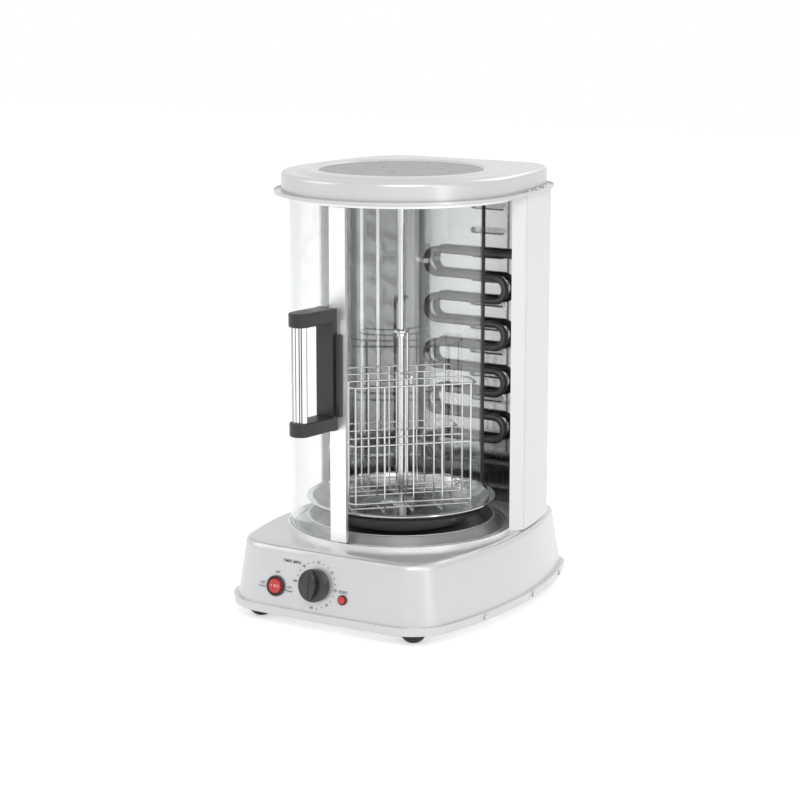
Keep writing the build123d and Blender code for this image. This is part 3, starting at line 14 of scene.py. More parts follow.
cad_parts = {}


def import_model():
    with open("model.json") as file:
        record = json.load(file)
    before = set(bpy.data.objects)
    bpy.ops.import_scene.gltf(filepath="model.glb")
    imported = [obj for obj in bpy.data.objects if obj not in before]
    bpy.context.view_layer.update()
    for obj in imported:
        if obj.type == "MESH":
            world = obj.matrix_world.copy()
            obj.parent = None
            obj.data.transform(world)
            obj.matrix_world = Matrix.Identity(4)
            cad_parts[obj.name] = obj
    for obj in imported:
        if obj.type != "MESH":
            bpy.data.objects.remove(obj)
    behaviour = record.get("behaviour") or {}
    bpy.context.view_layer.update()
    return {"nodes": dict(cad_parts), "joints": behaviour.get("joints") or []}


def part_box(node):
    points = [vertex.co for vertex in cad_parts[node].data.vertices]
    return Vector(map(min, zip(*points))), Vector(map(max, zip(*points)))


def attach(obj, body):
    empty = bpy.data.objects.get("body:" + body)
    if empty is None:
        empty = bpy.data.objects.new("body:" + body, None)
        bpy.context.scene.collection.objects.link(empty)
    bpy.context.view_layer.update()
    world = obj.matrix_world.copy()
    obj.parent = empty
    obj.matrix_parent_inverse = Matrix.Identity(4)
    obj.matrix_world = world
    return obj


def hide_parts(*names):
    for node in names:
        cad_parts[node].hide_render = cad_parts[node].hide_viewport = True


LOG = logging.getLogger("grill")
MM = 0.001

# Height of the floor pan's seat above the base's top.
SEAT_RISE = 0.9 * MM
# Heights that differ by less than this count as one.
NEAR = 0.01 * MM
# How much a noise is drawn out along the marks of rolling.
ALONG_GRAIN = 0.01
SMOOTH_ANGLE = math.radians(35)

UPWARDS = Vector((0.0, 0.0, 1.0))
REARWARDS = Vector((0.0, 1.0, 0.0))

Triple = tuple[float, float, float]
Pair = tuple[float, float]
Colour = Triple


class Grain(Enum):
    """Direction of the fine marks that rolling, turning or drawing leaves in metal."""

    NONE = "none"
    UPRIGHT = "upright"
    TURNED = "turned"


# ---------------------------------------------------------------- node building
class NodeBench:
    """Builds one material's nodes on Object coordinates."""

    # The range in which most of a noise's values lie.
    NOISE_RANGE = (0.3, 0.7)
    # Share of the height in the coordinates of turned marks.
    HEIGHT_SHARE = 0.2
    # Sockets of the Mix node when it mixes colours.
    MIX_FIRST, MIX_SECOND, MIX_RESULT = 6, 7, 2

    def __init__(self, name: str) -> None:
        """Start an empty material.

        Args:
            name: Name of the material.
        """
        self.material = bpy.data.materials.new(name)
        self.material.use_nodes = True
        self.tree = self.material.node_tree
        self.tree.nodes.clear()
        self.output = self.tree.nodes.new("ShaderNodeOutputMaterial")
        self.shader = self.tree.nodes.new("ShaderNodeBsdfPrincipled")
        self.tree.links.new(self.shader.outputs[0], self.output.inputs["Surface"])
        self.place = self.tree.nodes.new("ShaderNodeTexCoord").outputs["Object"]

    def link(self, source: bpy.types.NodeSocket, target: bpy.types.NodeSocket) -> None:
        """Join two sockets."""
        self.tree.links.new(source, target)

    def set(self, **values: object) -> None:
        """Set constants on the shader's own sockets.

        Args:
            values: Socket names with underscores for spaces, and their values.
        """
        for key, value in values.items():
            socket = self.shader.inputs[key.replace("_", " ")]
            socket.default_value = (*value, 1.0) if isinstance(value, tuple) else value

    def math(self, operation: str, a: object, b: object = 0.0) -> bpy.types.NodeSocket:
        """Add a math node.

        Args:
            operation: Blender's name of the operation.
            a: First value or socket.
            b: Second value or socket.

        Returns:
            The node's result.
        """
        node = self.tree.nodes.new("ShaderNodeMath")
        node.operation = operation
        for socket, value in zip(node.inputs, (a, b)):
            if isinstance(value, bpy.types.NodeSocket):
                self.link(value, socket)
            else:
                socket.default_value = value
        return node.outputs[0]

    def stretched(self, scale: Triple) -> bpy.types.NodeSocket:
        """Coordinates scaled separately along X, Y and Z."""
        node = self.tree.nodes.new("ShaderNodeMapping")
        node.inputs["Scale"].default_value = scale
        self.link(self.place, node.inputs["Vector"])
        return node.outputs[0]

    def radius_from_axis(self) -> bpy.types.NodeSocket:
        """Distance from the Z axis, as a vector that feeds a noise."""
        split = self.tree.nodes.new("ShaderNodeSeparateXYZ")
        self.link(self.place, split.inputs[0])
        x2 = self.math("MULTIPLY", split.outputs[0], split.outputs[0])
        y2 = self.math("MULTIPLY", split.outputs[1], split.outputs[1])
        radius = self.math("SQRT", self.math("ADD", x2, y2))
        joined = self.tree.nodes.new("ShaderNodeCombineXYZ")
        self.link(radius, joined.inputs[0])
        self.link(self.math("MULTIPLY", split.outputs[2], self.HEIGHT_SHARE), joined.inputs[1])
        return joined.outputs[0]

    def noise(self, scale: float, detail: float = 2.0, vector: object = None) -> bpy.types.NodeSocket:
        """Add a noise texture.

        Args:
            scale: Waves per metre.
            detail: Octaves.
            vector: Coordinates; the object's own by default.

        Returns:
            The noise's value.
        """
        node = self.tree.nodes.new("ShaderNodeTexNoise")
        node.inputs["Scale"].default_value = scale
        node.inputs["Detail"].default_value = detail
        self.link(self.place if vector is None else vector, node.inputs["Vector"])
        return node.outputs[0]

    def spread(self, value: bpy.types.NodeSocket, low: float, high: float) -> bpy.types.NodeSocket:
        """Map a noise's middle range to a low and a high value."""
        node = self.tree.nodes.new("ShaderNodeMapRange")
        node.inputs["From Min"].default_value = self.NOISE_RANGE[0]
        node.inputs["From Max"].default_value = self.NOISE_RANGE[1]
        node.inputs["To Min"].default_value = low
        node.inputs["To Max"].default_value = high
        self.link(value, node.inputs["Value"])
        return node.outputs[0]

    def blend(self, factor: bpy.types.NodeSocket, first: Colour, second: Colour) -> bpy.types.NodeSocket:
        """Mix two colours by a factor."""
        node = self.tree.nodes.new("ShaderNodeMix")
        node.data_type = "RGBA"
        self.link(factor, node.inputs[0])
        node.inputs[self.MIX_FIRST].default_value = (*first, 1.0)
        node.inputs[self.MIX_SECOND].default_value = (*second, 1.0)
        return node.outputs[self.MIX_RESULT]

    def bump(self, height: bpy.types.NodeSocket, depth: float) -> None:
        """Let a height field tilt the surface.

        Args:
            height: Height from 0 to 1.
            depth: Height of 1, in metres.
        """
        node = self.tree.nodes.new("ShaderNodeBump")
        node.inputs["Distance"].default_value = depth
        self.link(height, node.inputs["Height"])
        self.link(node.outputs[0], self.shader.inputs["Normal"])


def shade(colour: Colour, factor: float) -> Colour:
    """A colour made darker or lighter by a factor."""
    return tuple(min(1.0, c * factor) for c in colour)


# ---------------------------------------------------------------- finishes
@dataclass(frozen=True)
class PaintFinish:
    """Sprayed paint: faint orange peel, flakes and a slow drift of tone."""

    name: str
    colour: Colour
    roughness: float = 0.38
    metallic: float = 0.0
    flake: float = 0.06
    coat: float = 0.25
    coat_roughness: float = 0.12
    peel: float = 0.000004
    flake_scale: float = 2600.0
    drift_scale: float = 9.0
    smudge_scale: float = 60.0
    peel_scale: float = 700.0
    flake_share: float = 0.6
    smudge: Pair = (0.04, 0.05)

    def build(self) -> bpy.types.Material:
        """Make the material."""
        bench = NodeBench(self.name)
        flakes = bench.spread(bench.noise(self.flake_scale, 1.0), 0.0, 1.0)
        drift = bench.spread(bench.noise(self.drift_scale, 3.0), 0.0, 1.0)
        both = bench.math(
            "ADD",
            bench.math("MULTIPLY", flakes, self.flake_share),
            bench.math("MULTIPLY", drift, 1.0 - self.flake_share),
        )
        tone = bench.blend(both, shade(self.colour, 1.0 - self.flake), shade(self.colour, 1.0 + self.flake))
        bench.link(tone, bench.shader.inputs["Base Color"])
        smudges = bench.noise(self.smudge_scale, 4.0)
        rough = bench.spread(smudges, self.roughness - self.smudge[0], self.roughness + self.smudge[1])
        bench.link(rough, bench.shader.inputs["Roughness"])
        bench.bump(bench.noise(self.peel_scale, 1.0), self.peel)
        bench.set(Metallic=self.metallic, Coat_Weight=self.coat, Coat_Roughness=self.coat_roughness)
        return bench.material


@dataclass(frozen=True)
class MetalFinish:
    """Bare or polished metal with fine marks in one direction and faint smears."""

    name: str
    colour: Colour
    roughness: float = 0.16
    grain: Grain = Grain.NONE
    grain_depth: float = 0.000004
    smear: float = 0.05
    tone: float = 0.05
    turned_scale: float = 900.0
    mark_scale: float = 1400.0
    mark_spread: float = 0.3
    cloud_scale: float = 22.0

    def marks(self, bench: NodeBench) -> bpy.types.NodeSocket:
        """The noise that draws the fine marks."""
        if self.grain is Grain.TURNED:
            return bench.noise(self.turned_scale, 2.0, bench.radius_from_axis())
        along = ALONG_GRAIN if self.grain is Grain.UPRIGHT else 1.0
        return bench.noise(self.mark_scale, 3.0, bench.stretched((1.0, 1.0, along)))

    def build(self) -> bpy.types.Material:
        """Make the material."""
        bench = NodeBench(self.name)
        marks = self.marks(bench)
        clouds = bench.noise(self.cloud_scale, 4.0)
        tone = bench.blend(
            bench.spread(clouds, 0.0, 1.0),
            shade(self.colour, 1.0 - self.tone),
            shade(self.colour, 1.0 + self.tone),
        )
        bench.link(tone, bench.shader.inputs["Base Color"])
        smears = bench.spread(clouds, 0.0, self.smear)
        scratches = bench.spread(
            marks, self.roughness * (1.0 - self.mark_spread), self.roughness * (1.0 + self.mark_spread)
        )
        bench.link(bench.math("ADD", smears, scratches), bench.shader.inputs["Roughness"])
        bench.bump(marks, self.grain_depth)
        bench.set(Metallic=1.0)
        return bench.material


@dataclass(frozen=True)
class GroovedFinish:
    """Drawn aluminium whose grooves carry dark lines of painted shade and painted reflection along its
    length.
    """

    name: str
    colour: Colour
    groove_shade: Colour
    roughness: float = 0.25
    half_width: float = 0.55 * MM
    offsets: tuple[float, ...] = (-6.9 * MM, -4.6 * MM, 0.0, 4.6 * MM, 6.9 * MM)
    mark_scale: float = 1400.0
    mark_spread: float = 0.2
    mark_depth: float = 0.000003

    def build(self) -> bpy.types.Material:
        """Make the material."""
        bench = NodeBench(self.name)
        low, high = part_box("handle_grip")
        middle = Vector(((low[0] + high[0]) / 2, (low[1] + high[1]) / 2, 0.0))
        across = Vector((-middle.y, middle.x, 0.0)).normalized()
        split = bench.tree.nodes.new("ShaderNodeSeparateXYZ")
        bench.link(bench.place, split.inputs[0])
        side = bench.math(
            "ADD",
            bench.math("MULTIPLY", split.outputs[0], across.x),
            bench.math("MULTIPLY", split.outputs[1], across.y),
        )
        cover = None
        for offset in self.offsets:
            near = bench.math("ABSOLUTE", bench.math("SUBTRACT", side, offset))
            in_groove_shade = bench.math("LESS_THAN", near, self.half_width)
            cover = in_groove_shade if cover is None else bench.math("MAXIMUM", cover, in_groove_shade)
        # Painted shade: the grooves are coloured dark for the shade and dark reflections that lie in them.
        tone = bench.blend(cover, self.colour, self.groove_shade)
        bench.link(tone, bench.shader.inputs["Base Color"])
        marks = bench.noise(self.mark_scale, 3.0, bench.stretched((1.0, 1.0, ALONG_GRAIN)))
        rough = bench.spread(
            marks, self.roughness * (1.0 - self.mark_spread), self.roughness * (1.0 + self.mark_spread)
        )
        bench.link(rough, bench.shader.inputs["Roughness"])
        bench.bump(marks, self.mark_depth)
        bench.set(Metallic=1.0)
        return bench.material


@dataclass(frozen=True)
class MouldedFinish:
    """Moulded plastic, rubber or porcelain with a fine skin texture."""

    name: str
    colour: Colour
    roughness: float = 0.45
    skin_scale: float = 1800.0
    skin_depth: float = 0.00002
    coat: float = 0.0
    coat_roughness: float = 0.08
    wear_scale: float = 35.0
    wear_tone: Pair = (0.9, 1.15)
    wear_roughness: Pair = (0.05, 0.06)

    def build(self) -> bpy.types.Material:
        """Make the material."""
        bench = NodeBench(self.name)
        skin = bench.noise(self.skin_scale, 2.0)
        wear = bench.spread(bench.noise(self.wear_scale, 4.0), 0.0, 1.0)
        tone = bench.blend(wear, *(shade(self.colour, factor) for factor in self.wear_tone))
        bench.link(tone, bench.shader.inputs["Base Color"])
        less, more = self.wear_roughness
        rough = bench.spread(wear, self.roughness - less, self.roughness + more)
        bench.link(rough, bench.shader.inputs["Roughness"])
        bench.bump(skin, self.skin_depth)
        bench.set(Coat_Weight=self.coat, Coat_Roughness=self.coat_roughness)
        return bench.material


@dataclass(frozen=True)
class SheathFinish:
    """Oxidised steel sheath of a tubular heater with heat-tinted stretches."""

    name: str
    colour: Colour
    tint: Colour
    roughness: float = 0.42
    roughness_spread: float = 0.08
    metallic: float = 0.75
    patch_scale: float = 28.0
    crust_scale: float = 420.0
    crust_depth: float = 0.00006

    def build(self) -> bpy.types.Material:
        """Make the material."""
        bench = NodeBench(self.name)
        patches = bench.spread(bench.noise(self.patch_scale, 3.0), 0.0, 1.0)
        tone = bench.blend(patches, self.colour, self.tint)
        bench.link(tone, bench.shader.inputs["Base Color"])
        crust = bench.noise(self.crust_scale, 4.0)
        spread = self.roughness_spread
        rough = bench.spread(crust, self.roughness - spread, self.roughness + spread)
        bench.link(rough, bench.shader.inputs["Roughness"])
        bench.bump(crust, self.crust_depth)
        bench.set(Metallic=self.metallic)
        return bench.material


@dataclass(frozen=True)
class GlassFinish:
    """Clear pane: the share of light that it mirrors rises towards grazing view."""

    name: str
    mirror: Colour = (0.93, 0.96, 0.95)
    facing_share: float = 0.09
    grazing_power: float = 3.4
    edge_blend: float = 0.5
    haze_scale: float = 14.0
    haze_share: float = 0.012
    haze_tone: float = 0.9
    polish_scale: float = 60.0
    polish: Pair = (0.01, 0.03)

    def build(self) -> bpy.types.Material:
        """Make the material."""
        bench = NodeBench(self.name)
        weight = bench.tree.nodes.new("ShaderNodeLayerWeight")
        weight.inputs["Blend"].default_value = self.edge_blend
        rise = bench.math("POWER", weight.outputs["Facing"], self.grazing_power)
        share = bench.math("MULTIPLY", rise, 1.0 - self.facing_share)
        haze = bench.spread(bench.noise(self.haze_scale, 3.0), 0.0, self.haze_share)
        alpha = bench.math("ADD", bench.math("ADD", share, self.facing_share), haze)
        bench.link(alpha, bench.shader.inputs["Alpha"])
        tone = bench.blend(haze, self.mirror, shade(self.mirror, self.haze_tone))
        bench.link(tone, bench.shader.inputs["Base Color"])
        rough = bench.spread(bench.noise(self.polish_scale), *self.polish)
        bench.link(rough, bench.shader.inputs["Roughness"])
        bench.set(Metallic=1.0)
        return bench.material


@dataclass(frozen=True)
class InkFinish:
    """Screen-printed ink of slightly uneven tone."""

    name: str
    colour: Colour
    cover_scale: float = 3000.0
    thin_tone: float = 1.35
    roughness: Pair = (0.45, 0.6)

    def build(self) -> bpy.types.Material:
        """Make the material."""
        bench = NodeBench(self.name)
        cover = bench.spread(bench.noise(self.cover_scale), 0.0, 1.0)
        tone = bench.blend(cover, self.colour, shade(self.colour, self.thin_tone))
        bench.link(tone, bench.shader.inputs["Base Color"])
        bench.link(bench.spread(cover, *self.roughness), bench.shader.inputs["Roughness"])
        return bench.material


Finish = (
    PaintFinish | MetalFinish | GroovedFinish | MouldedFinish | SheathFinish | GlassFinish | InkFinish
)


SILVER = PaintFinish("silver_paint", (0.63, 0.635, 0.64), roughness=0.32, metallic=0.5, flake=0.012)
PANEL = PaintFinish("light_panel_paint", (0.84, 0.845, 0.85), roughness=0.42, flake=0.012, coat=0.1)
PAN = PaintFinish("pan_coat", (0.25, 0.254, 0.258), roughness=0.36, metallic=0.35, flake=0.04, coat=0.1)
POLISHED = MetalFinish(
    "polished_steel_upright", (0.56, 0.565, 0.57), 0.11, Grain.UPRIGHT, 0.000002, smear=0.02, tone=0.02
)
# The liner is darker than the reflectors in front of it. Its tone is partly the steel's own and partly
# painted shade for the shadowed zone below the slotted reflector.
LINER = MetalFinish("liner_steel", (0.38, 0.385, 0.39), 0.22, Grain.UPRIGHT, 0.000003, smear=0.03, tone=0.03)
TURNED = MetalFinish("spun_steel", (0.58, 0.585, 0.59), 0.15, Grain.TURNED, 0.000003, smear=0.03, tone=0.03)
WIRE = MetalFinish("bright_wire", (0.66, 0.665, 0.67), 0.14, Grain.NONE, 0.000002, smear=0.03, tone=0.02)
ZINC = MetalFinish("zinc_steel", (0.60, 0.61, 0.60), 0.30, Grain.NONE, 0.00001, tone=0.10)
STRIP = MetalFinish("door_strip", (0.86, 0.865, 0.87), 0.36, Grain.UPRIGHT, 0.000003, tone=0.02)
# The grip's second colour is painted shade and painted reflection along its grooves.
GRIP = GroovedFinish("grip_aluminium", (0.80, 0.805, 0.81), (0.05, 0.05, 0.052))
MOTOR = MetalFinish("motor_case", (0.52, 0.53, 0.53), 0.33, Grain.TURNED, 0.000006, tone=0.08)
SHEATH = SheathFinish("element_sheath", (0.085, 0.085, 0.088), (0.12, 0.115, 0.11))
BLACK = MouldedFinish("black_plastic", (0.018, 0.018, 0.019), 0.36)
KNOB = MouldedFinish("knob_plastic", (0.022, 0.022, 0.023), 0.24, 1500.0, 0.000012, 0.3)
EDGING = MouldedFinish("dark_edging", (0.11, 0.11, 0.11), 0.5, 900.0)
RUBBER = MouldedFinish("foot_rubber", (0.02, 0.02, 0.02), 0.7, 1200.0, 0.00004)
RED = MouldedFinish("rocker_red", (0.58, 0.012, 0.016), 0.2, 500.0, 0.000008, 0.6)
CERAMIC = MouldedFinish("ceramic", (0.82, 0.80, 0.75), 0.22, 300.0, 0.00002, 0.5)
GLASS = GlassFinish("door_glass")
INK = InkFinish("printed_ink", (0.07, 0.07, 0.075))
PALE_INK = InkFinish("pale_ink", (0.85, 0.85, 0.85))

NODE_FINISHES: dict[Finish, tuple[str, ...]] = {
    SILVER: ("base_shell", "lid_flange", "lid_cover", "rear_cover"),
    PANEL: ("rear_housing", "housing_trim_left", "housing_trim_right"),
    PAN: ("floor_pan", "lid_disc"),
    LINER: ("rear_liner",),
    POLISHED: ("slotted_reflector", "side_reflector_left", "side_reflector_right"),
    TURNED: ("drip_tray", "chamber_ceiling", "drive_hub", "top_bearing"),
    WIRE: ("spit_rod", "basket_front", "basket_rear", "basket_lifting_rod"),
    ZINC: (
        "base_bottom_plate", "foot_screws", "rim_screws", "floor_pan_screws", "rear_cover_screws",
        "element_clips", "element_clip_screws", "element_pins", "lid_flange_screws", "motor_bracket",
        "motor_bracket_screws", "handle_screws",
    ),
    STRIP: ("door_edge_strip", "lower_glass_track", "upper_glass_track"),
    GRIP: ("handle_grip",),
    MOTOR: ("spit_motor", "spit_gearbox"),
    SHEATH: ("heating_element",),
    BLACK: (
        "handle_back_plate", "handle_upper_arm", "handle_lower_arm", "power_switch_body", "timer_body",
        "timer_knob", "thermal_cutout", "terminal_block", "cord_inlet", "door_guide_shoes",
    ),
    EDGING: ("door_rear_edging",),
    RUBBER: ("rubber_feet",),
    RED: ("power_rocker", "reset_button"),
    CERAMIC: ("element_insulators",),
    GLASS: ("door_glass",),
}


class Paintshop:
    """Builds each finish once and gives it to nodes and pieces."""

    def __init__(self) -> None:
        """Start with no finish built."""
        self.built: dict[str, bpy.types.Material] = {}

    def material(self, finish: Finish) -> bpy.types.Material:
        """The material of a finish, built when first asked for."""
        if finish.name not in self.built:
            self.built[finish.name] = finish.build()
        return self.built[finish.name]

    def dress(self, obj: bpy.types.Object, finish: Finish) -> None:
        """Give an object one finish all over."""
        obj.data.materials.clear()
        obj.data.materials.append(self.material(finish))

    def dress_nodes(self, nodes: dict[str, bpy.types.Object]) -> None:
        """Give every carried-over node its finish.

        Args:
            nodes: The frame's nodes by name.
        """
        for finish, names in NODE_FINISHES.items():
            for name in names:
                node = nodes[name]
                if node.data.materials:
                    for slot in node.material_slots:
                        slot.material = self.material(finish)
                else:
                    node.data.materials.append(self.material(finish))
            LOG.info("finish %s on %s", finish.name, ", ".join(names))


# ---------------------------------------------------------------- modelling steps
def deselect() -> None:
    """Leave no object selected."""
    bpy.ops.object.select_all(action="DESELECT")


def settle(obj: bpy.types.Object, place: Matrix) -> bpy.types.Object:
    """Put a piece at its place and carry the place into its mesh.

    Args:
        obj: The piece.
        place: Where it goes.

    Returns:
        The piece.
    """
    obj.matrix_world = place
    deselect()
    obj.select_set(True)
    bpy.context.view_layer.objects.active = obj
    bpy.ops.object.transform_apply(location=True, rotation=True, scale=True)
    return obj


def join(pieces: list[bpy.types.Object], name: str) -> bpy.types.Object:
    """Join mesh pieces into one object.

    Args:
        pieces: The pieces, the first of which stays.
        name: Name of the joined piece.

    Returns:
        The joined piece.
    """
    deselect()
    for piece in pieces:
        piece.select_set(True)
    bpy.context.view_layer.objects.active = pieces[0]
    if len(pieces) > 1:
        bpy.ops.object.join()
    pieces[0].name = name
    return pieces[0]


def duplicate(piece: bpy.types.Object) -> bpy.types.Object:
    """A copy of a piece with a mesh of its own."""
    copy = piece.copy()
    copy.data = piece.data.copy()
    bpy.context.scene.collection.objects.link(copy)
    return copy


def smooth(piece: bpy.types.Object) -> None:
    """Shade a piece smooth wherever its faces meet at a flat angle."""
    deselect()
    piece.select_set(True)
    bpy.ops.object.shade_smooth_by_angle(angle=SMOOTH_ANGLE)


def round_top(obj: bpy.types.Object, top: float, width: float, segments: int) -> None:
    """Round the rim of a form's top face.

    Args:
        obj: The form.
        top: Height of the face in the form's own mesh.
        width: Width of the rounding.
        segments: Steps of the rounding.
    """
    bpy.ops.object.mode_set(mode="EDIT")
    bpy.ops.mesh.select_all(action="DESELECT")
    bpy.ops.object.mode_set(mode="OBJECT")
    for edge in obj.data.edges:
        edge.select = all(obj.data.vertices[i].co.z > top - NEAR for i in edge.vertices)
    bpy.ops.object.mode_set(mode="EDIT")
    bpy.ops.mesh.bevel(offset=width, segments=segments, profile=0.5)
    bpy.ops.object.mode_set(mode="OBJECT")


class Print(Enum):
    """Height of the panel's lettering."""

    LARGE = 4.4 * MM
    SMALL = 3.5 * MM


@dataclass(frozen=True)
class PanelWord:
    """A printed word and its place from the dial's centre."""

    text: str
    right: float
    up: float
    size: Print = Print.SMALL


PANEL_WORDS = (
    PanelWord("TIMER (MIN)", -33.3 * MM, 21.6 * MM, Print.LARGE),
    PanelWord("OFF", -51.2 * MM, 7.2 * MM),
    PanelWord("Half", -70.2 * MM, -6.4 * MM),
    PanelWord("Power", -70.2 * MM, -10.6 * MM),
    PanelWord("Full", -34.3 * MM, -7.4 * MM),
    PanelWord("Power", -34.3 * MM, -11.6 * MM),
    PanelWord("RESET", 36.0 * MM, -2.8 * MM, Print.LARGE),
)


@dataclass
class ControlPanel:
    """Lettering and dial marks printed on the sloping front wall."""

    centre: Vector
    normal: Vector
    shop: Paintshop
    ring: float = 25.5 * MM
    off_gap: float = 2.0 * MM
    film: float = 0.05 * MM
    boldness: float = 0.004
    dot: float = 0.72 * MM
    dot_sides: int = 20
    dot_edge: float = 0.2
    dots_between: int = 2
    off_angle: float = 271.5
    step: float = 46.0
    numerals: tuple[str, ...] = ("OFF", "10", "20", "30", "40", "50", "60")
    prints: list[bpy.types.Object] = field(default_factory=list)

    def place(self, right: float, up: float) -> Matrix:
        """Frame on the wall's face.

        Args:
            right: Distance to the right of the dial's centre.
            up: Distance up the wall from the dial's centre.

        Returns:
            A matrix whose Z axis points out of the wall.
        """
        x_axis = Vector((1.0, 0.0, 0.0))
        y_axis = self.normal.cross(x_axis)
        spot = self.centre + x_axis * right + y_axis * up + self.normal * self.film
        place = Matrix((x_axis, y_axis, self.normal)).transposed().to_4x4()
        place.translation = spot
        return place

    def word(self, text: str, right: float, up: float, size: float) -> None:
        """Print one word, centred at a place on the wall."""
        deselect()
        bpy.ops.object.text_add(location=(0.0, 0.0, 0.0))
        obj = bpy.context.active_object
        obj.data.body = text
        obj.data.size = size
        obj.data.align_x = "CENTER"
        obj.data.align_y = "CENTER"
        obj.data.extrude = self.film * 0.5
        obj.data.offset = size * self.boldness
        bpy.ops.object.convert(target="MESH")
        self.prints.append(settle(bpy.context.active_object, self.place(right, up)))

    def mark(self, right: float, up: float) -> None:
        """Print one round dot."""
        deselect()
        bpy.ops.mesh.primitive_cylinder_add(vertices=self.dot_sides, radius=self.dot, depth=self.film)
        obj = bpy.context.active_object
        bpy.ops.object.mode_set(mode="EDIT")
        bpy.ops.mesh.select_all(action="SELECT")
        bpy.ops.mesh.bevel(offset=self.film * self.dot_edge, segments=1)
        bpy.ops.object.mode_set(mode="OBJECT")
        self.prints.append(settle(obj, self.place(right, up)))

    def on_ring(self, angle: float, ring: float) -> tuple[float, float]:
        """Place on the dial's ring at an angle clockwise from the top."""
        turn = math.radians(angle)
        return ring * math.sin(turn), ring * math.cos(turn)

    def build(self) -> bpy.types.Object:
        """Print the dial, the switch's words and the reset's word.

        Returns:
            The joined lettering.
        """
        for i, text in enumerate(self.numerals):
            angle = self.off_angle + i * self.step
            size, gap = (Print.SMALL, self.off_gap) if i == 0 else (Print.LARGE, 0.0)
            self.word(text, *self.on_ring(angle, self.ring + gap), size.value)
            if i < len(self.numerals) - 1:
                for part in range(1, self.dots_between + 1):
                    turn = part * self.step / (self.dots_between + 1)
                    self.mark(*self.on_ring(angle + turn, self.ring))
        for word in PANEL_WORDS:
            self.word(word.text, word.right, word.up, word.size.value)
        piece = join(self.prints, "panel_lettering")
        self.shop.dress(piece, INK)
        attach(piece, "cabinet")
        LOG.info("panel lettering printed")
        return piece


@dataclass
class TimerKnob:
    """Moulded timer knob: round skirt with a lens-shaped grip across it."""

    panel: ControlPanel
    shop: Paintshop
    radius: float = 18.4 * MM
    skirt: float = 8.5 * MM
    reach: float = 15.3 * MM
    clearance: float = 0.35 * MM
    grip_length: float = 16.6 * MM
    grip_width: float = 8.6 * MM
    grip_sunk: float = 0.5 * MM
    grip_rim: float = 0.7 * MM
    skirt_rim: float = 1.5 * MM
    rim_steps: int = 4
    draft: float = 0.93
    sides: int = 96
    smallest: float = 1e-6

    def turned(self, radius: float, low: float, high: float) -> bpy.types.Object:
        """Add a cylinder between two heights with its place in its mesh."""
        deselect()
        bpy.ops.mesh.primitive_cylinder_add(
            vertices=self.sides, radius=radius, depth=high - low, location=(0.0, 0.0, (low + high) / 2)
        )
        bpy.ops.object.transform_apply(location=True, rotation=True, scale=True)
        return bpy.context.active_object

    def grip(self) -> bpy.types.Object:
        """Model the grip: two arcs that meet in points at its ends."""
        obj = self.turned(self.radius, self.skirt - self.grip_sunk, self.reach)
        arc = (self.grip_length**2 + self.grip_width**2) / (2 * self.grip_width)
        for vertex in obj.data.vertices:
            x, y, _ = vertex.co / self.radius
            along = self.grip_length * y
            across = math.sqrt(arc**2 - along**2) - (arc - self.grip_width)
            share = abs(x) / max(math.sqrt(max(1.0 - y * y, 0.0)), self.smallest)
            draft = self.draft if vertex.co.z > self.skirt else 1.0
            vertex.co.x = math.copysign(across * min(share, 1.0), x) * draft
            vertex.co.y = along * draft
        round_top(obj, self.reach, self.grip_rim, self.rim_steps)
        return obj

    def build(self) -> bpy.types.Object:
        """Model the knob at the dial's centre.

        Returns:
            The knob.
        """
        skirt = self.turned(self.radius, self.clearance, self.skirt)
        round_top(skirt, self.skirt, self.skirt_rim, self.rim_steps)
        piece = join([skirt, self.grip()], "timer_knob_moulded")
        place = self.panel.place(0.0, 0.0)
        place.translation -= self.panel.normal * self.panel.film
        settle(piece, place)
        smooth(piece)
        self.shop.dress(piece, KNOB)
        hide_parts("timer_knob")
        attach(piece, "timer_knob")
        LOG.info("timer knob set")
        return piece


@dataclass
class RockerMarks:
    """Moulded position marks on the red rocker."""

    rocker: bpy.types.Object
    joint: dict
    panel: ControlPanel
    shop: Paintshop
    spread: float = 4.3 * MM
    letter: float = 4.2 * MM
    start: float = 40.0 * MM
    marks: tuple[str, ...] = ("I", "O", "II")

    def build(self) -> bpy.types.Object:
        """Lay the marks on the rocker's face.

        Returns:
            The joined marks.
        """
        normal = self.panel.normal
        side = Vector((1.0, 0.0, 0.0))
        up = normal.cross(side)
        centre = Vector(self.joint["pos_m"])
        pieces = []
        for i, text in enumerate(self.marks):
            origin = centre + side * (i - 1) * self.spread + normal * self.start
            found, spot, lean, _ = self.rocker.ray_cast(origin, -normal)
            if not found:
                LOG.info("no face under mark %s", text)
                continue
            across = up.cross(lean).normalized()
            place = Matrix((across, lean.cross(across), lean)).transposed().to_4x4()
            place.translation = spot + lean * self.panel.film
            self.panel.word(text, 0.0, 0.0, self.letter)
            mark = self.panel.prints.pop()
            mark.data.transform(place @ self.panel.place(0.0, 0.0).inverted())
            pieces.append(mark)
        piece = join(pieces, "rocker_marks")
        self.shop.dress(piece, PALE_INK)
        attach(piece, "power_rocker")
        LOG.info("rocker marks set")
        return piece


# ---------------------------------------------------------------- screws
@dataclass
class ScrewHole:
    """One screw's place, read from the solid that it stands for."""

    tip: Vector
    out: Vector
    length: float
    head_radius: float


def solids_of(node: bpy.types.Object, reach: float) -> list[list[Vector]]:
    """Sort a node's points into its separate solids.

    Args:
        node: The node.
        reach: Distance within which points belong to one solid.

    Returns:
        The points of each solid.
    """
    groups: list[list[Vector]] = []
    for vertex in node.data.vertices:
        for group in groups:
            if (group[0] - vertex.co).length < reach:
                group.append(vertex.co.copy())
                break
        else:
            groups.append([vertex.co.copy()])
    return groups


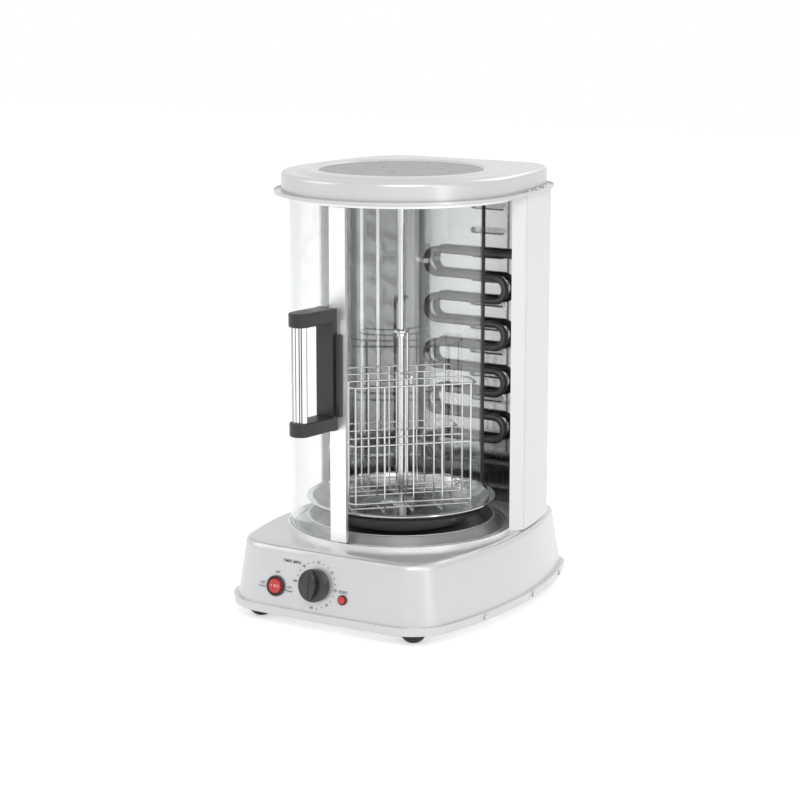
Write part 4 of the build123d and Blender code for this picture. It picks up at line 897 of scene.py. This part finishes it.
def screw_hole(points: list[Vector], axis: Vector, centre: Vector) -> ScrewHole:
    """Measure one screw along a known axis.

    Args:
        points: The solid's points.
        axis: Direction in which the head points.
        centre: A point on the axis.

    Returns:
        The screw's head end, direction, length and head radius.
    """
    heights = [(p - centre).dot(axis) for p in points]
    radii = [((p - centre) - axis * (p - centre).dot(axis)).length for p in points]
    return ScrewHole(centre + axis * max(heights), axis, max(heights) - min(heights), max(radii))


def middle_of(points: list[Vector]) -> Vector:
    """Middle of the points' box."""
    low = Vector(tuple(min(p[i] for p in points) for i in range(3)))
    high = Vector(tuple(max(p[i] for p in points) for i in range(3)))
    return (low + high) / 2


@dataclass
class CrossScrews:
    """Pan-head screws with a cross recess, one set for a node of plain screws."""

    node: str
    out: Vector
    body: str
    shop: Paintshop
    finish: Finish = ZINC
    apart: float = 14.0 * MM
    spin_step: float = 0.7
    head_sides: int = 32
    head_share: float = 0.62
    dome_share: float = 0.62
    dome_steps: int = 5
    sunk_share: float = 0.9
    shank_sides: int = 20
    shank_share: float = 0.48
    shank_edge: float = 0.1
    recess_share: float = 0.30
    recess_reach: float = 1.15
    recess_depth: float = 1.1

    def one(self, hole: ScrewHole) -> bpy.types.Object:
        """Model one screw with its head's end at the origin, pointing along +Z."""
        radius = hole.head_radius
        height = radius * self.head_share
        deselect()
        bpy.ops.mesh.primitive_cylinder_add(
            vertices=self.head_sides, radius=radius, depth=height, location=(0, 0, -height / 2)
        )
        head = bpy.context.active_object
        round_top(head, height / 2, height * self.dome_share, self.dome_steps)
        bpy.ops.object.transform_apply(location=True, rotation=True, scale=True)
        for turn in (0.0, math.pi / 2):
            self.cut_slot(head, radius, height, turn)
        sunk = height * self.sunk_share
        shank_length = hole.length - sunk
        deselect()
        bpy.ops.mesh.primitive_cylinder_add(
            vertices=self.shank_sides,
            radius=radius * self.shank_share,
            depth=shank_length,
            location=(0, 0, -sunk - shank_length / 2),
        )
        shank = bpy.context.active_object
        bpy.ops.object.mode_set(mode="EDIT")
        bpy.ops.mesh.select_all(action="SELECT")
        bpy.ops.mesh.bevel(offset=radius * self.shank_edge, segments=2)
        bpy.ops.object.mode_set(mode="OBJECT")
        bpy.ops.object.transform_apply(location=True, rotation=True, scale=True)
        return join([head, shank], f"{self.node}_one")

    def cut_slot(self, head: bpy.types.Object, radius: float, height: float, turn: float) -> None:
        """Cut one arm of the cross recess into a head."""
        deselect()
        bpy.ops.mesh.primitive_cube_add(size=1.0, location=(0, 0, 0), rotation=(0, 0, turn))
        cutter = bpy.context.active_object
        cutter.scale = (radius * self.recess_reach, radius * self.recess_share, height * self.recess_depth)
        deselect()
        head.select_set(True)
        bpy.context.view_layer.objects.active = head
        cut = head.modifiers.new("recess", "BOOLEAN")
        cut.operation = "DIFFERENCE"
        cut.object = cutter
        bpy.ops.object.modifier_apply(modifier=cut.name)
        bpy.data.objects.remove(cutter)

    def build(self, nodes: dict[str, bpy.types.Object]) -> bpy.types.Object:
        """Set a screw at each place of the node.

        Args:
            nodes: The frame's nodes by name.

        Returns:
            The joined screws.
        """
        copies = []
        pattern = None
        for i, points in enumerate(solids_of(nodes[self.node], self.apart)):
            hole = screw_hole(points, self.out, middle_of(points))
            if pattern is None:
                pattern = self.one(hole)
            place = hole.out.to_track_quat("Z", "Y").to_matrix().to_4x4()
            spin = Matrix.Rotation(self.spin_step * i, 4, "Z")
            copies.append(settle(duplicate(pattern), Matrix.Translation(hole.tip) @ place @ spin))
        bpy.data.objects.remove(pattern)
        piece = join(copies, f"{self.node}_cross")
        smooth(piece)
        self.shop.dress(piece, self.finish)
        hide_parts(self.node)
        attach(piece, self.body)
        LOG.info("screws %s", piece.name)
        return piece


# ---------------------------------------------------------------- slots
@dataclass
class SlotRims:
    """Bright turned-out rims round the level slots of the rear reflector."""

    face_y: float
    shop: Paintshop
    length: float = 45.0 * MM
    height: float = 7.0 * MM
    centre_x: float = 27.5 * MM
    top_z: float = 440.0 * MM
    pitch: float = 28.5 * MM
    count: int = 9
    wall: float = 0.9 * MM
    wall_edge: float = 0.35
    stand: float = 1.3 * MM
    sides: int = 40

    def one(self) -> bpy.types.Object:
        """Model one rim about the origin, its hole along Y."""
        radius = self.height / 2
        deselect()
        bpy.ops.mesh.primitive_cylinder_add(
            vertices=self.sides,
            radius=radius,
            depth=self.stand,
            end_fill_type="NOTHING",
            rotation=(math.pi / 2, 0, 0),
        )
        rim = bpy.context.active_object
        bpy.ops.object.transform_apply(location=True, rotation=True, scale=True)
        half = self.length / 2 - radius
        for side in (-1.0, 1.0):
            bpy.ops.object.mode_set(mode="EDIT")
            bpy.ops.mesh.select_all(action="DESELECT")
            bpy.ops.object.mode_set(mode="OBJECT")
            for vertex in rim.data.vertices:
                vertex.select = vertex.co.x * side > NEAR
            bpy.ops.object.mode_set(mode="EDIT")
            bpy.ops.transform.translate(value=(side * half, 0.0, 0.0))
            bpy.ops.object.mode_set(mode="OBJECT")
        wall = rim.modifiers.new("wall", "SOLIDIFY")
        wall.thickness = self.wall
        wall.offset = 1.0
        bpy.ops.object.modifier_apply(modifier=wall.name)
        edge = rim.modifiers.new("edge", "BEVEL")
        edge.width = self.wall * self.wall_edge
        edge.segments = 2
        edge.limit_method = "ANGLE"
        bpy.ops.object.modifier_apply(modifier=edge.name)
        return rim

    def build(self) -> bpy.types.Object:
        """Set a rim in front of each slot.

        Returns:
            The joined rims.
        """
        pattern = self.one()
        copies = []
        for i in range(self.count):
            spot = (self.centre_x, self.face_y - self.stand / 2, self.top_z - i * self.pitch)
            copies.append(settle(duplicate(pattern), Matrix.Translation(spot)))
        bpy.data.objects.remove(pattern)
        piece = join(copies, "slot_rims")
        smooth(piece)
        self.shop.dress(piece, STRIP)
        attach(piece, "cabinet")
        LOG.info("slot rims set")
        return piece


# ---------------------------------------------------------------- pan
@dataclass
class PanHighlightRings:
    """Bright metal rings set round the floor pan as painted highlights along its bends."""

    top: float
    seat: float
    shop: Paintshop
    bead_highlight_radius: float = 106.3 * MM
    seat_highlight_radius: float = 118.6 * MM
    thickness: float = 0.75 * MM
    flatness: float = 0.6
    around: int = 144
    section: int = 8

    def ring(self, radius: float, height: float) -> bpy.types.Object:
        """Model one flattened bright ring, half sunk in the sheet, as a painted highlight on a bend.

        Args:
            radius: Radius of its middle line.
            height: Height of its middle line.

        Returns:
            The bright ring.
        """
        deselect()
        bpy.ops.mesh.primitive_torus_add(
            major_radius=radius,
            minor_radius=self.thickness,
            major_segments=self.around,
            minor_segments=self.section,
        )
        obj = bpy.context.active_object
        bpy.ops.object.mode_set(mode="EDIT")
        bpy.ops.mesh.select_all(action="SELECT")
        bpy.ops.transform.resize(value=(1.0, 1.0, self.flatness))
        bpy.ops.object.mode_set(mode="OBJECT")
        rounder = obj.modifiers.new("rounder", "SUBSURF")
        rounder.levels = 1
        rounder.render_levels = 1
        bpy.ops.object.modifier_apply(modifier=rounder.name)
        bpy.ops.object.shade_smooth()
        return settle(obj, Matrix.Translation((0.0, 0.0, height)))

    def build(self) -> bpy.types.Object:
        """Set the two bright rings of painted highlight on the pan.

        Returns:
            The joined highlight rings.
        """
        # Painted highlights: bright metal rings along the pan's bends.
        bend_highlights = [self.ring(self.bead_highlight_radius, self.top), self.ring(self.seat_highlight_radius, self.seat)]
        piece = join(bend_highlights, "pan_bend_highlights")
        self.shop.dress(piece, STRIP)
        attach(piece, "cabinet")
        LOG.info("pan beads set")
        return piece


# ---------------------------------------------------------------- studio
@dataclass(frozen=True)
class Lamp:
    """A soft rectangular lamp that faces the object."""

    name: str
    spot: Triple
    height: float
    width: float
    power: float


LAMPS = (
    Lamp("key_lamp", (1.6, -2.2, 2.2), 1.6, 1.6, 30.0),
    Lamp("fill_lamp", (-2.4, -1.6, 1.6), 1.8, 1.8, 12.0),
    Lamp("back_lamp", (0.6, 2.4, 2.2), 1.6, 1.6, 14.0),
    Lamp("strip_lamp", (2.1, -0.75, 0.9), 1.5, 0.4, 4.5),
)


@dataclass
class Studio:
    """Pale floor, soft lights, white surroundings and the camera."""

    eye: Vector = field(default_factory=lambda: Vector((1.3370, -2.1844, 0.7536)))
    back: Vector = field(default_factory=lambda: Vector((0.51201, -0.83552, 0.19937)))
    lens: float = 103.5
    sensor: float = 36.0
    clip: float = 50.0
    aim: Vector = field(default_factory=lambda: Vector((0.0, 0.0, 0.25)))
    floor_size: float = 12.0
    floor_drop: float = 0.2 * MM
    floor_colour: Colour = (0.93, 0.93, 0.93)
    floor_tone: float = 0.99
    floor_cloud: float = 3.0
    floor_roughness: float = 0.85
    floor_sheen: float = 0.1
    floor_glow: float = 0.50
    sky: float = 0.58

    def camera(self) -> None:
        """Set the camera at the photograph's viewing angle."""
        data = bpy.data.cameras.new("camera")
        data.lens = self.lens
        data.sensor_width = self.sensor
        data.clip_end = self.clip
        obj = bpy.data.objects.new("camera", data)
        turn = self.back.to_track_quat("Z", "Y").to_matrix().to_4x4()
        obj.matrix_world = Matrix.Translation(self.eye) @ turn
        bpy.context.scene.collection.objects.link(obj)
        bpy.context.scene.camera = obj

    def light(self, lamp: Lamp) -> None:
        """Set up one lamp."""
        data = bpy.data.lights.new(lamp.name, "AREA")
        data.shape = "RECTANGLE"
        data.size = lamp.width
        data.size_y = lamp.height
        data.energy = lamp.power
        obj = bpy.data.objects.new(lamp.name, data)
        obj.location = lamp.spot
        way = self.aim - Vector(lamp.spot)
        obj.rotation_euler = way.to_track_quat("-Z", "Y").to_euler()
        bpy.context.scene.collection.objects.link(obj)

    def white_for_views(self, tree: bpy.types.NodeTree) -> bpy.types.NodeSocket:
        """One where a ray comes from the camera, a mirror or a pane, else zero.

        Args:
            tree: The floor's or the world's nodes.

        Returns:
            The value's socket.
        """
        path = tree.nodes.new("ShaderNodeLightPath")
        seen = path.outputs["Is Camera Ray"]
        for ray in ("Is Glossy Ray", "Is Transmission Ray"):
            either = tree.nodes.new("ShaderNodeMath")
            either.operation = "MAXIMUM"
            tree.links.new(seen, either.inputs[0])
            tree.links.new(path.outputs[ray], either.inputs[1])
            seen = either.outputs[0]
        return seen

    def surroundings(self) -> None:
        """Even white light all round, and a white background behind the object."""
        world = bpy.data.worlds.new("surroundings")
        bpy.context.scene.world = world
        world.use_nodes = True
        tree = world.node_tree
        tree.nodes.clear()
        output = tree.nodes.new("ShaderNodeOutputWorld")
        mix = tree.nodes.new("ShaderNodeMixShader")
        light = tree.nodes.new("ShaderNodeBackground")
        light.inputs["Color"].default_value = (1.0, 1.0, 1.0, 1.0)
        light.inputs["Strength"].default_value = self.sky
        seen = tree.nodes.new("ShaderNodeBackground")
        seen.inputs["Color"].default_value = (1.0, 1.0, 1.0, 1.0)
        seen.inputs["Strength"].default_value = 1.0
        tree.links.new(self.white_for_views(tree), mix.inputs[0])
        tree.links.new(light.outputs[0], mix.inputs[1])
        tree.links.new(seen.outputs[0], mix.inputs[2])
        tree.links.new(mix.outputs[0], output.inputs["Surface"])

    def floor(self) -> None:
        """Lay the pale floor under the feet."""
        deselect()
        bpy.ops.mesh.primitive_plane_add(size=self.floor_size, location=(0.0, 0.0, -self.floor_drop))
        plane = bpy.context.active_object
        plane.name = "studio_floor"
        bench = NodeBench("floor_paper")
        clouds = bench.spread(bench.noise(self.floor_cloud), 0.0, 1.0)
        tone = bench.blend(clouds, self.floor_colour, shade(self.floor_colour, self.floor_tone))
        bench.link(tone, bench.shader.inputs["Base Color"])
        bench.set(Roughness=self.floor_roughness, Specular_IOR_Level=self.floor_sheen)
        glow = bench.math("MULTIPLY", self.white_for_views(bench.tree), self.floor_glow)
        bench.set(Emission_Color=(1.0, 1.0, 1.0))
        bench.link(glow, bench.shader.inputs["Emission Strength"])
        plane.data.materials.append(bench.material)

    def build(self) -> None:
        """Set up camera, lights, surroundings and floor."""
        self.camera()
        for lamp in LAMPS:
            self.light(lamp)
        self.surroundings()
        self.floor()
        bpy.context.scene.view_settings.view_transform = "Standard"
        LOG.info("studio ready")


def joint_of(frame: dict, name: str) -> dict:
    """The frame's joint of a name."""
    return next(joint for joint in frame["joints"] if joint["name"] == name)


def main() -> None:
    """Load the frame, dress it, add the finer pieces and set up the studio."""
    logging.basicConfig(level=logging.INFO, format="%(message)s")
    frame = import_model()
    deselect()
    shop = Paintshop()
    shop.dress_nodes(frame["nodes"])
    timer = joint_of(frame, "timer_turn")
    panel = ControlPanel(Vector(timer["pos_m"]), Vector(timer["axis"]).normalized(), shop)
    panel.build()
    TimerKnob(panel, shop).build()
    for node, out in (
        ("floor_pan_screws", UPWARDS),
        ("lid_flange_screws", UPWARDS),
        ("rear_cover_screws", REARWARDS),
    ):
        CrossScrews(node, out, "cabinet", shop).build(frame["nodes"])
    _, pan_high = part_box("floor_pan")
    _, base_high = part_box("base_shell")
    reflector_low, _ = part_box("slotted_reflector")
    SlotRims(reflector_low[1], shop).build()
    # Bright rings painted on the pan as highlights along its bends.
    PanHighlightRings(pan_high[2], base_high[2] + SEAT_RISE, shop).build()
    RockerMarks(frame["nodes"]["power_rocker"], joint_of(frame, "power_rock"), panel, shop).build()
    Studio().build()


if __name__ == "__main__":
    main()
